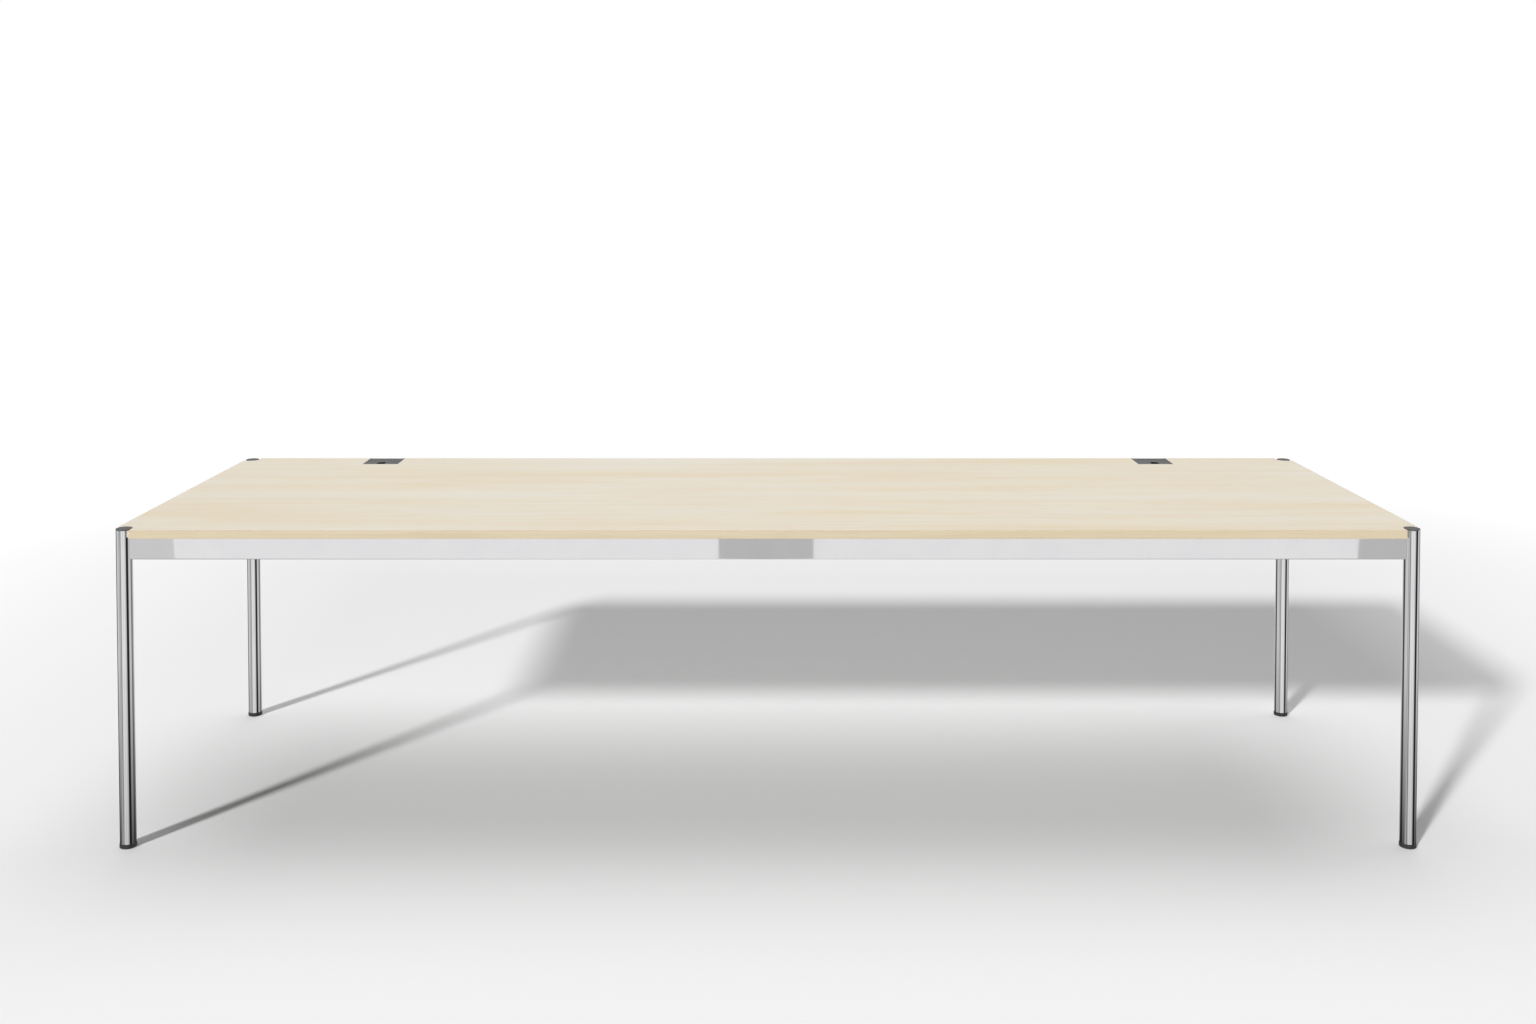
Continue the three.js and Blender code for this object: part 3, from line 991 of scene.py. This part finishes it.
@dataclass
class Leg:
    """A tube leg with its cap, foot and corner fixings.

    Attributes:
        corner: The corner that it stands in.
        tube_wall: The tube's wall.
        end_round: The rounding of the tube's ends.
        cap_round: The rounding of the cap's rim.
        pad_round: The rounding of the foot's rim.
        fit: The gap where one piece sits in another.
        shank: The radius of the foot's stud.
        collar_height: The height of the stud's collar.
        thread_pitch: The pitch of the stud's thread.
        thread_depth: The depth of its thread.
        bracket_thickness: The thickness of the corner bracket.
        bracket_bend: How far from the rail's middle the bracket bends.
        bend_angle: How far it bends there.
        bend_round: The rounding of that bend.
        bolt_radius: The radius of the corner bolt.
        bolt_start: How far from the leg's axis the bolt starts.
        bolt_head: The radius over the corners of its head, and the head's height.
        bolt_sides: The number of the head's sides.
        fixing_round: The rounding of the bracket's and the bolt head's edges.
    """

    corner: Corner
    tube_wall: float = 2 * MM
    end_round: float = 0.4 * MM
    cap_round: float = 0.9 * MM
    pad_round: float = 1.0 * MM
    fit: float = 0.3 * MM
    shank: float = 5 * MM
    collar_height: float = 4 * MM
    thread_pitch: float = 1.5 * MM
    thread_depth: float = 0.9 * MM
    bracket_thickness: float = 3 * MM
    bracket_bend: float = 14 * MM
    bend_angle: float = math.pi / 4
    bend_round: float = 2.5 * MM
    bolt_radius: float = 3 * MM
    bolt_start: float = 8 * MM
    bolt_head: Pair = (5.77 * MM, 4 * MM)
    bolt_sides: int = 6
    fixing_round: float = 0.3 * MM

    def node(self, kind: str) -> str:
        """Return the name of this leg's node of a kind."""
        return f"{kind}_{self.corner.label}"

    def axis(self) -> Vector:
        """Return a point on the leg's axis, at the floor."""
        return Vector((*middle_of(self.node("leg_tube")).xy, 0))

    def build(self) -> None:
        """Build the leg, its foot and its fixings."""
        self.build_tube()
        self.build_cap()
        self.build_pad()
        self.build_stud()
        self.build_bracket()
        self.build_bolt()

    def add(self, kind: str, shape: Shape, finish: Finish, body: str = "table", turn: float = 0.0) -> None:
        """Set a piece on the leg's axis and dress it.

        Args:
            kind: The kind of node that it stands for.
            shape: Its mesh, about the leg's axis.
            finish: Its finish.
            body: The body that it moves with.
            turn: How far it is turned about the leg's axis.
        """
        place = Matrix.Translation(self.axis()) @ Matrix.Rotation(turn, 4, "Z")
        bmesh.ops.transform(shape, matrix=place, verts=shape.verts)
        add_piece(f"{self.corner.label}_{kind}", shape, finish, self.node(kind), body)

    def build_tube(self) -> None:
        """Build the chrome tube."""
        node = self.node("leg_tube")
        low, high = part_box(node)
        outside = radius_of(node)
        bore = outside - self.tube_wall
        profile = [(bore, low.z), (outside, low.z), (outside, high.z), (bore, high.z)]
        shape = turned(profile, closed=True)
        round_over(shape, sharp_edges(shape), self.end_round)
        self.add("leg_tube", shape, CHROME)

    def build_cap(self) -> None:
        """Build the grey cap with its hollow plug."""
        node = self.node("leg_cap")
        low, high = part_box(node)
        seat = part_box(self.node("leg_tube"))[1].z
        radius = radius_of(node)
        plug = radius - self.tube_wall - self.fit
        hollow = plug - self.tube_wall
        profile = [
            (0, seat - self.tube_wall),
            (hollow, seat - self.tube_wall),
            (hollow, low.z),
            (plug, low.z),
            (plug, seat),
            (radius, seat),
            (radius, high.z),
            (0, high.z),
        ]
        shape = turned(profile)
        rim = [edge for edge in sharp_edges(shape) if edge.verts[0].co.z > high.z - TOUCH]
        round_over(shape, rim, self.cap_round, RIM_STEPS)
        self.add("leg_cap", shape, GREY)

    def build_pad(self) -> None:
        """Build the black pad with a socket in its top."""
        low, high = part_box(self.node("foot_pad"))
        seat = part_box(self.node("foot_stud"))[0].z
        radius = radius_of(self.node("foot_pad"))
        socket = radius_of(self.node("foot_stud")) + self.fit
        profile = [
            (0, low.z),
            (radius, low.z),
            (radius, high.z),
            (socket, high.z),
            (socket, seat),
            (0, seat),
        ]
        shape = turned(profile)
        rims = [edge for edge in sharp_edges(shape) if edge.verts[0].co.xy.length > (socket + radius) / 2]
        round_over(shape, rims, self.pad_round)
        self.add("foot_pad", shape, BLACK, self.node("foot"))

    def build_stud(self) -> None:
        """Build the stud, with its thread as ring grooves above the collar."""
        node = self.node("foot_stud")
        low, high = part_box(node)
        collar = radius_of(node)
        shoulder = low.z + self.collar_height
        root = self.shank - self.thread_depth
        profile = [(0, low.z), (collar, low.z), (collar, shoulder), (root, shoulder)]
        for turn in range(int((high.z - shoulder) / self.thread_pitch)):
            base = shoulder + turn * self.thread_pitch
            profile.append((self.shank, base + self.thread_pitch / 2))
            profile.append((root, base + self.thread_pitch))
        profile += [(root, high.z), (0, high.z)]
        self.add("foot_stud", turned(profile, SMALL_STEPS), ZINC, self.node("foot"))

    def setback(self) -> float:
        """Work out how far along each rail the bracket's lip stands from the leg's axis.

        Returns:
            The distance to the middle of its thickness.
        """
        low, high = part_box(self.node("corner_bracket"))
        reach = max(abs(low.x - self.axis().x), abs(high.x - self.axis().x))
        return reach - self.bracket_thickness / 2

    def bracket_shape(self, grow: float = 0.0) -> Shape:
        """Build the bent bracket in place, or a thicker one that cuts its slots in the rails.

        Args:
            grow: How much is added all round.

        Returns:
            The bracket's mesh.
        """
        low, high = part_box(self.node("corner_bracket"))
        axis = self.axis()
        tip = min(abs(low.x - axis.x), abs(high.x - axis.x)) - grow
        half = self.bracket_thickness / 2 + grow
        mitre = half * math.tan(self.bend_angle / 2)
        near, far = self.setback() - half, self.setback() + half
        inside = [(near, tip), (near, self.bracket_bend - mitre)]
        outside = [(far, self.bracket_bend + mitre), (far, tip)]
        plan = inside + [(v, u) for u, v in inside[::-1]] + [(v, u) for u, v in outside[::-1]] + outside
        side_x, side_y = self.corner.value[1:]
        outline = [(axis.x - side_x * u, axis.y - side_y * v) for u, v in plan]
        shape = plate(outline, low.z - grow, high.z + grow)
        bends = [
            edge
            for edge in sharp_edges(shape)
            if not is_level(edge) and edge.calc_face_angle() < SQUARE_ANGLE
        ]
        round_over(shape, bends, self.bend_round, RIM_STEPS)
        return shape

    def build_bracket(self) -> None:
        """Build the corner bracket."""
        shape = self.bracket_shape()
        round_over(shape, sharp_edges(shape, SQUARE_ANGLE), self.fixing_round, FINE_STEPS)
        add_piece(f"{self.corner.label}_bracket", shape, ZINC, self.node("corner_bracket"))

    def build_bolt(self) -> None:
        """Build the hexagon bolt that draws the bracket towards the leg."""
        height = Vector((0, 0, middle_of(self.node("corner_bolt")).z))
        ahead = Vector((1, 0, 0))
        reach = (self.bracket_bend + self.setback()) * math.cos(self.bend_angle)
        seat = reach + self.bracket_thickness / 2 + self.fit
        radius, thickness = self.bolt_head
        head = rod(radius, height + ahead * seat, height + ahead * (seat + thickness), self.bolt_sides)
        round_over(head, sharp_edges(head), self.fixing_round, FINE_STEPS)
        shank = rod(self.bolt_radius, height + ahead * self.bolt_start, height + ahead * (seat + OVERRUN))
        self.add("corner_bolt", worked(head, [shank], Cut.JOIN), ZINC, turn=self.corner.inward)


@dataclass
class Rail:
    """A flat tube rail between two legs, hollowed at its ends to sit against them.

    Attributes:
        node: The rail's node.
        corners: The corners that it runs between.
        screws: The nodes of the screws that go up through it.
        bars: The nodes of the cross bars that are let into it.
        outer_round: The rounding of its long edges.
        inner_round: The rounding of its hollow.
        round_steps: The number of steps in these roundings.
        wall: The tube's wall.
        access: The radius of the holes in its underside that the screws went in by.
        gap: The gap to the legs and to what is let into it.
        tenon_height: The height of the cross bars' tenons.
    """

    node: str
    corners: tuple[Corner, Corner]
    screws: Sequence[str] = ()
    bars: Sequence[str] = ()
    outer_round: float = 2.5 * MM
    inner_round: float = 0.5 * MM
    round_steps: int = 6
    wall: float = 2 * MM
    access: float = 6 * MM
    gap: float = 0.3 * MM
    tenon_height: float = 24 * MM

    def build(self) -> None:
        """Build the rail: a rounded tube, cut at its ends and drilled from below."""
        low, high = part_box(self.node)
        along = 0 if high.x - low.x > high.y - low.y else 1
        inset = Vector((self.wall, self.wall, self.wall))
        inset[along] = -OVERRUN
        tools = [self.bar(low + inset, high - inset, along, self.inner_round)]
        for corner in self.corners:
            tools += [self.saddle(corner, low.z, high.z), Leg(corner).bracket_shape(self.gap)]
        tools += [self.drilling(screw, low.z) for screw in self.screws]
        tools += [self.pocket(bar) for bar in self.bars]
        shape = worked(self.bar(low, high, along, self.outer_round), tools, Cut.TAKE_AWAY)
        add_piece(f"{self.node}_tube", shape, CHROME, self.node)

    def bar(self, low: Vector, high: Vector, along: int, rounding: float) -> Shape:
        """Make a bar with rounded long edges.

        Args:
            low: Its lowest corner.
            high: Its highest corner.
            along: The number of the axis that it runs along.
            rounding: The rounding of its long edges.

        Returns:
            The closed bar.
        """
        shape = block(low, high)
        edges = [edge for edge in shape.edges if edge.verts[0].co[along] != edge.verts[1].co[along]]
        round_over(shape, edges, rounding, self.round_steps)
        return shape

    def saddle(self, corner: Corner, low: float, high: float) -> Shape:
        """Make the round cutter that a leg stands for.

        Args:
            corner: The leg's corner.
            low: The height of the rail's underside.
            high: The height of its top.

        Returns:
            The cutter.
        """
        axis = Leg(corner).axis()
        start = Vector((axis.x, axis.y, low - OVERRUN))
        end = Vector((axis.x, axis.y, high + OVERRUN))
        return rod(radius_of(f"leg_tube_{corner.label}") + self.gap, start, end, LATHE_STEPS)

    def drilling(self, screw: str, underside: float) -> Shape:
        """Make the cutter for the hole that a screw went in by.

        Args:
            screw: The screw's node.
            underside: The height of the rail's underside.

        Returns:
            The cutter.
        """
        middle = middle_of(screw)
        start = Vector((middle.x, middle.y, underside - OVERRUN))
        end = Vector((middle.x, middle.y, underside + self.wall + OVERRUN))
        return rod(self.access, start, end)

    def pocket(self, bar: str) -> Shape:
        """Make the cutter for the pocket that a cross bar's tenons are let into.

        Args:
            bar: The cross bar's node.

        Returns:
            The cutter.
        """
        low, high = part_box(bar)
        grow = Vector((self.gap, self.gap, 0))
        rise = Vector((0, 0, (high.z - low.z - self.tenon_height) / 2 - self.gap))
        return block(low - grow + rise, high + grow - rise)


@dataclass
class CableOutlet:
    """A cable outlet in the back edge: a frame, a hinged lid and its pin.

    Attributes:
        side: The end of the table that it is near.
        lid_round: The rounding of the lid's rim.
        frame_round: The rounding of the frame's and the pin's edges.
        lid_thickness: The thickness of the lid's plate, and the radius of its barrel.
        notch_half: Half the width of the cable notch in the lid's front edge.
        notch_depth: The depth of that notch.
        notch_round: The rounding of its inner end, just short of half its width.
        notch_steps: The number of steps in that rounding.
        pin_clearance: The gap between the pin and its bore.
    """

    side: str
    lid_round: float = 0.6 * MM
    frame_round: float = 0.3 * MM
    lid_thickness: float = 4 * MM
    notch_half: float = 11 * MM
    notch_depth: float = 26 * MM
    notch_round: float = 10.78 * MM
    notch_steps: int = 12
    pin_clearance: float = 0.3 * MM

    def build(self) -> None:
        """Build the lid, the pin and the frame."""
        self.build_lid()
        self.build_pin()
        refine_node(f"outlet_frame_{self.side}", f"{self.side}_outlet_frame", GREY, self.frame_round)

    def pin_radius(self) -> float:
        """Return the radius of the hinge pin."""
        low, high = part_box(f"outlet_pin_{self.side}")
        return (high.z - low.z) / 2

    def hinge(self) -> tuple[Vector, Vector]:
        """Work out where the hinge pin runs.

        Returns:
            The two ends of its axis.
        """
        low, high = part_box(f"outlet_pin_{self.side}")
        middle = (low + high) / 2
        return Vector((low.x, middle.y, middle.z)), Vector((high.x, middle.y, middle.z))

    def build_lid(self) -> None:
        """Build the lid: a plate whose cable notch walls are painted near-black as painted shade, and the
        hinge barrel along its back.
        """
        node = f"outlet_lid_{self.side}"
        low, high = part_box(node)
        start, end = self.hinge()
        middle = (start.x + end.x) / 2
        left, right = middle - self.notch_half, middle + self.notch_half
        inner = low.y + self.notch_depth
        outline = [
            (low.x, low.y),
            (left, low.y),
            (left, inner),
            (right, inner),
            (right, low.y),
            (high.x, low.y),
            (high.x, start.y),
            (low.x, start.y),
        ]
        shape = plate(outline, high.z - self.lid_thickness, high.z)
        upright = [edge for edge in shape.edges if not is_level(edge)]
        ends = [edge for edge in upright if abs(edge.verts[0].co.y - inner) < TOUCH]
        round_over(shape, ends, self.notch_round, self.notch_steps)
        rims = [
            edge
            for edge in sharp_edges(shape)
            if is_level(edge)
            and edge.verts[0].co.z > high.z - TOUCH
            and min(vert.co.y for vert in edge.verts) < start.y - TOUCH
        ]
        round_over(shape, rims, self.lid_round)
        barrel_ends = [Vector((x, start.y, start.z)) for x in (low.x, high.x)]
        shape = worked(shape, [rod(self.lid_thickness, *barrel_ends, LATHE_STEPS)], Cut.JOIN)
        past = Vector((OVERRUN, 0, 0))
        bore = rod(self.pin_radius() + self.pin_clearance, start - past, end + past)
        shape = worked(shape, [bore], Cut.TAKE_AWAY)
        lid = add_piece(f"{self.side}_outlet_lid", shape, GREY, node, f"lid_{self.side}")
        # The notch's upright walls take the near-black painted shade.
        lid.data.materials.append(NOTCH_PAINTED_SHADE.material())
        for face in lid.data.polygons:
            across = left - MM < face.center.x < right + MM
            within = low.y + MM < face.center.y < inner + MM
            if across and within and abs(face.normal.z) < LEVEL_NORMAL:
                face.material_index = 1

    def build_pin(self) -> None:
        """Build the hinge pin."""
        shape = rod(self.pin_radius(), *self.hinge())
        round_over(shape, sharp_edges(shape), self.frame_round)
        add_piece(f"{self.side}_outlet_pin", shape, ZINC, f"outlet_pin_{self.side}")


def dress_nodes() -> None:
    """Give every node of the frame that still shows the finish of its slot."""
    finishes = {finish.slot.value: finish for finish in (MAPLE, MAPLE_EDGE_PAINTED_SHADE, CHROME, ZINC, GREY, BLACK)}
    slots = {row["node"]: row["material_slot"] for row in frame["record"]["subparts"]}
    for name, node in frame["nodes"].items():
        if node.hide_render:
            continue
        for holder in node.material_slots:
            holder.material = finishes[slots[name]].material()
        log.info("node %s stays, in %s", name, finishes[slots[name]].name)


# The studio


@dataclass(frozen=True)
class FarLight:
    """A light so far off that its beams run the same way everywhere.

    Attributes:
        name: The light's name.
        travel: The direction in which it travels.
        power: Its strength.
        spread: Its width, in degrees.
        glare: Whether glossy surfaces mirror it.
    """

    name: str
    travel: Triple
    power: float
    spread: float
    glare: bool = True

    def build(self) -> None:
        """Build the light."""
        data = bpy.data.lights.new(self.name, "SUN")
        data.energy = self.power
        data.angle = math.radians(self.spread)
        light = put(self.name, data)
        light.rotation_mode = "QUATERNION"
        light.rotation_quaternion = Vector(self.travel).to_track_quat("-Z", "Y")
        light.visible_glossy = self.glare


@dataclass(frozen=True)
class WallTone:
    """The brightness of the studio's walls at one bearing, as polished metal shows it.

    Attributes:
        bearing: Degrees from the camera's side towards +X.
        tone: The tone shown there, from 0 for black to 1 for white.
    """

    bearing: float
    tone: float

    @property
    def place(self) -> float:
        """The bearing as a share of the full circle, from behind on the left."""
        return self.bearing / CIRCLE + 0.5

    @property
    def light(self) -> float:
        """The light that polished chrome shows as this tone."""
        shown = ((self.tone + SCREEN_OFFSET) / (1 + SCREEN_OFFSET)) ** SCREEN_POWER
        return shown / CHROME.base[0]


@dataclass
class Studio:
    """Floor, lights, surroundings and camera.

    Attributes:
        lights: The key light, the overhead light and the level fill light.
        ambient: The brightness of the surroundings for matt surfaces.
        floor_half: Half the floor's width.
        floor_shade: The floor's reflectance.
        patch_middle: The middle of the patch of floor round the table and its shadow.
        patch_half: Half the size of that patch.
        floor_fade: How far beyond the patch the floor has faded to white.
        walls: The studio's walls all round, as polished metal shows them.
        front: The even panels in front, each from its bearing to the next one's.
        front_end: The bearing at which the last of these panels ends.
        floor_dim: How much darker reflections show the floor in front, and at the sides.
        dim_sides: The bearings, either way, between which the one goes over to the other.
        dim_start: The slopes down to the floor, in degrees, between which this sets in.
        dim_stop: The steeper slopes between which it ends.
        sensor: The width of the camera's frame, in millimetres.
        lens: The camera's focal length, in millimetres.
        lens_shift: How far the frame is shifted, as a share of its width.
        camera_place: Where the camera stands.
        camera_tilt: How far it looks down, in degrees.
    """

    lights: tuple[FarLight, ...] = (
        FarLight("key light", (0.775, 1.10, -0.70), 3.4, 5.0, glare=False),
        FarLight("overhead light", (0.0, -0.22, -1.0), 1.45, 54.0),
        FarLight("fill light", (-1.0, -0.4, 0.0), 1.6, 20.0),
    )
    ambient: float = 0.02
    floor_half: float = 60.0
    floor_shade: float = 0.82
    patch_middle: Triple = (0.2, 0.725, 0.0)
    patch_half: Triple = (1.7, 1.175, 0.0)
    floor_fade: float = 1.8
    walls: tuple[WallTone, ...] = (
        WallTone(-180, 0.79),
        WallTone(-154, 0.75),
        WallTone(-147, 0.28),
        WallTone(-114, 0.28),
        WallTone(-106, 0.76),
        WallTone(-66, 0.78),
        WallTone(-62, 0.62),
        WallTone(-54, 0.60),
        WallTone(-51, 0.78),
        WallTone(-45, 0.78),
        WallTone(-42, 0.44),
        WallTone(-34, 0.44),
        WallTone(-31, 0.78),
        WallTone(24, 0.78),
        WallTone(36, 0.76),
        WallTone(43, 0.15),
        WallTone(70, 0.13),
        WallTone(79, 0.76),
        WallTone(96, 0.78),
        WallTone(108, 0.72),
        WallTone(120, 0.20),
        WallTone(126, 0.20),
        WallTone(128, 0.72),
        WallTone(132, 0.72),
        WallTone(134, 0.20),
        WallTone(139, 0.20),
        WallTone(146, 0.72),
        WallTone(180, 0.79),
    )
    front: tuple[WallTone, ...] = (
        WallTone(-24, 0.78),
        WallTone(-21.76, 0.88),
        WallTone(-1.9, 0.71),
        WallTone(1.75, 0.875),
        WallTone(21.64, 0.71),
    )
    front_end: float = 24.0
    floor_dim: Pair = (0.25, 0.88)
    dim_sides: Pair = (60.0, 72.0)
    dim_start: Pair = (16.5, 22.5)
    dim_stop: Pair = (24.0, 28.0)
    sensor: float = 36.0
    lens: float = 35.13
    lens_shift: float = -0.183
    camera_place: Triple = (0.0, -3.852, 1.5314)
    camera_tilt: float = 1.8

    def build(self) -> None:
        """Build the whole studio."""
        self.build_floor()
        for light in self.lights:
            light.build()
        self.build_surroundings()
        self.build_camera()
        settings = bpy.context.scene.view_settings
        settings.view_transform = "Standard"
        settings.look = "None"
        log.info("studio: floor, %d lights, surroundings and camera", len(self.lights))

    def build_floor(self) -> None:
        """Build a pale floor that fades to white far from the table."""
        shape = bmesh.new()
        bmesh.ops.create_grid(shape, x_segments=1, y_segments=1, size=self.floor_half)
        floor = put("floor", mesh_of(shape, "floor"))
        floor.visible_glossy = False
        material = bpy.data.materials.new("pale floor")
        wiring = Wiring.afresh(material)
        place = wiring.add("TexCoord").outputs["Object"]
        fade = wiring.remap(self.beyond_patch(wiring, place), (0.0, self.floor_fade))
        matt = wiring.add("BsdfDiffuse", Color=grey(self.floor_shade))
        white = wiring.add("Emission", Color=grey(1.0), Strength=1.0)
        blend = wiring.add("MixShader", fade, matt.outputs["BSDF"], white.outputs["Emission"])
        wiring.add("OutputMaterial", Surface=blend.outputs["Shader"])
        floor.data.materials.append(material)

    def beyond_patch(self, wiring: Wiring, place: Socket) -> Socket:
        """Add the distance from the patch of floor round the table.

        Args:
            wiring: The floor's nodes.
            place: The coordinates on the floor.

        Returns:
            The distance, 0 inside the patch.
        """
        offset = wiring.reckon_vector("SUBTRACT", place, self.patch_middle)
        aside = wiring.reckon_vector("ABSOLUTE", offset)
        past = wiring.reckon_vector("SUBTRACT", aside, self.patch_half)
        outside = wiring.reckon_vector("MAXIMUM", past, (0.0, 0.0, 0.0))
        return wiring.reckon_vector("LENGTH", outside, result="Value")

    def beyond(self, wiring: Wiring, turn: Socket, bearing: float, before: Socket, after: Given) -> Socket:
        """Return the light on either side of a sharp border, whose bearing is in degrees."""
        past = wiring.reckon("GREATER_THAN", turn, math.radians(bearing))
        return wiring.mix(past, before, after)

    def all_round(self, wiring: Wiring, turn: Socket) -> Socket:
        """Add the light of the walls all round.

        Args:
            wiring: The world's nodes.
            turn: The bearing that is looked at, in radians.

        Returns:
            The light.
        """
        ramp = wiring.add("ValToRGB", wiring.remap(turn, (-math.pi, math.pi)))
        stops = ramp.color_ramp.elements
        stops.remove(stops[1])
        for number, wall in enumerate(self.walls):
            stop = stops.new(wall.place) if number else stops[0]
            stop.position = wall.place
            stop.color = (*grey(wall.light), 1)
        return ramp.outputs["Color"]

    def dimming(self, wiring: Wiring, turn: Socket, rise: Socket) -> Socket:
        """Add how much darker the floor near the table is, as polished metal shows it.

        Args:
            wiring: The world's nodes.
            turn: The bearing that is looked at, in radians.
            rise: The upward part of the direction that is looked in.

        Returns:
            The dimming, 0 where there is none.
        """
        first, last = map(math.radians, self.dim_sides)
        share = wiring.remap(wiring.reckon("ABSOLUTE", turn), (first, last), self.floor_dim)
        for slopes, ends in ((self.dim_start, (0.0, 1.0)), (self.dim_stop, (1.0, 0.0))):
            first, last = (-math.sin(math.radians(slope)) for slope in slopes)
            share = wiring.reckon("MULTIPLY", share, wiring.remap(rise, (first, last), ends))
        return share

    def build_surroundings(self) -> None:
        """Build the white surroundings, with walls that only reflections show."""
        world = bpy.data.worlds.new("studio")
        bpy.context.scene.world = world
        wiring = Wiring.afresh(world)
        look = wiring.add("TexCoord").outputs["Generated"]
        parts = wiring.add("SeparateXYZ", Vector=look).outputs
        turn = wiring.reckon("ARCTAN2", parts["X"], wiring.reckon("MULTIPLY", parts["Y"], -1.0))
        walls = self.all_round(wiring, turn)
        around = walls
        for panel in self.front:
            around = self.beyond(wiring, turn, panel.bearing, around, grey(panel.light))
        around = self.beyond(wiring, turn, self.front_end, around, walls)
        around = wiring.mix(self.dimming(wiring, turn, parts["Z"]), around, grey(0.0))
        path = wiring.add("LightPath").outputs
        lit = wiring.mix(path["Is Glossy Ray"], grey(self.ambient), around)
        seen = wiring.mix(path["Is Camera Ray"], lit, grey(1.0))
        backdrop = wiring.add("Background", Color=seen, Strength=1.0)
        wiring.add("OutputWorld", Surface=backdrop.outputs["Background"])

    def build_camera(self) -> None:
        """Build the camera, in front of the middle of the table."""
        data = bpy.data.cameras.new("camera")
        data.sensor_width = self.sensor
        data.lens = self.lens
        data.shift_y = self.lens_shift
        camera = put("camera", data)
        camera.location = self.camera_place
        camera.rotation_euler = (math.radians(90 - self.camera_tilt), 0, 0)
        bpy.context.scene.camera = camera


def build_table() -> None:
    """Build all the table's sub-assemblies."""
    TableTop().build()
    for corner in Corner:
        Leg(corner).build()
    bars = ("cross_bar_left", "cross_bar_right")
    for side, first, second in (
        ("front", Corner.FRONT_LEFT, Corner.FRONT_RIGHT),
        ("back", Corner.BACK_LEFT, Corner.BACK_RIGHT),
    ):
        screws = [f"top_screw_{side}_{number}" for number in (1, 2, 3)]
        Rail(f"{side}_rail", (first, second), screws, bars).build()
    Rail("left_rail", (Corner.FRONT_LEFT, Corner.BACK_LEFT)).build()
    Rail("right_rail", (Corner.FRONT_RIGHT, Corner.BACK_RIGHT)).build()
    for bar in bars:
        refine_node(bar, f"{bar}_tube", ZINC)
    for side in ("left", "right"):
        CableOutlet(side).build()
    dress_nodes()


def main() -> None:
    """Build the table and the studio around it."""
    logging.basicConfig(level=logging.INFO, format="%(message)s")
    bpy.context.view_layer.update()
    Studio().build()
    build_table()


if __name__ == "__main__":
    main()
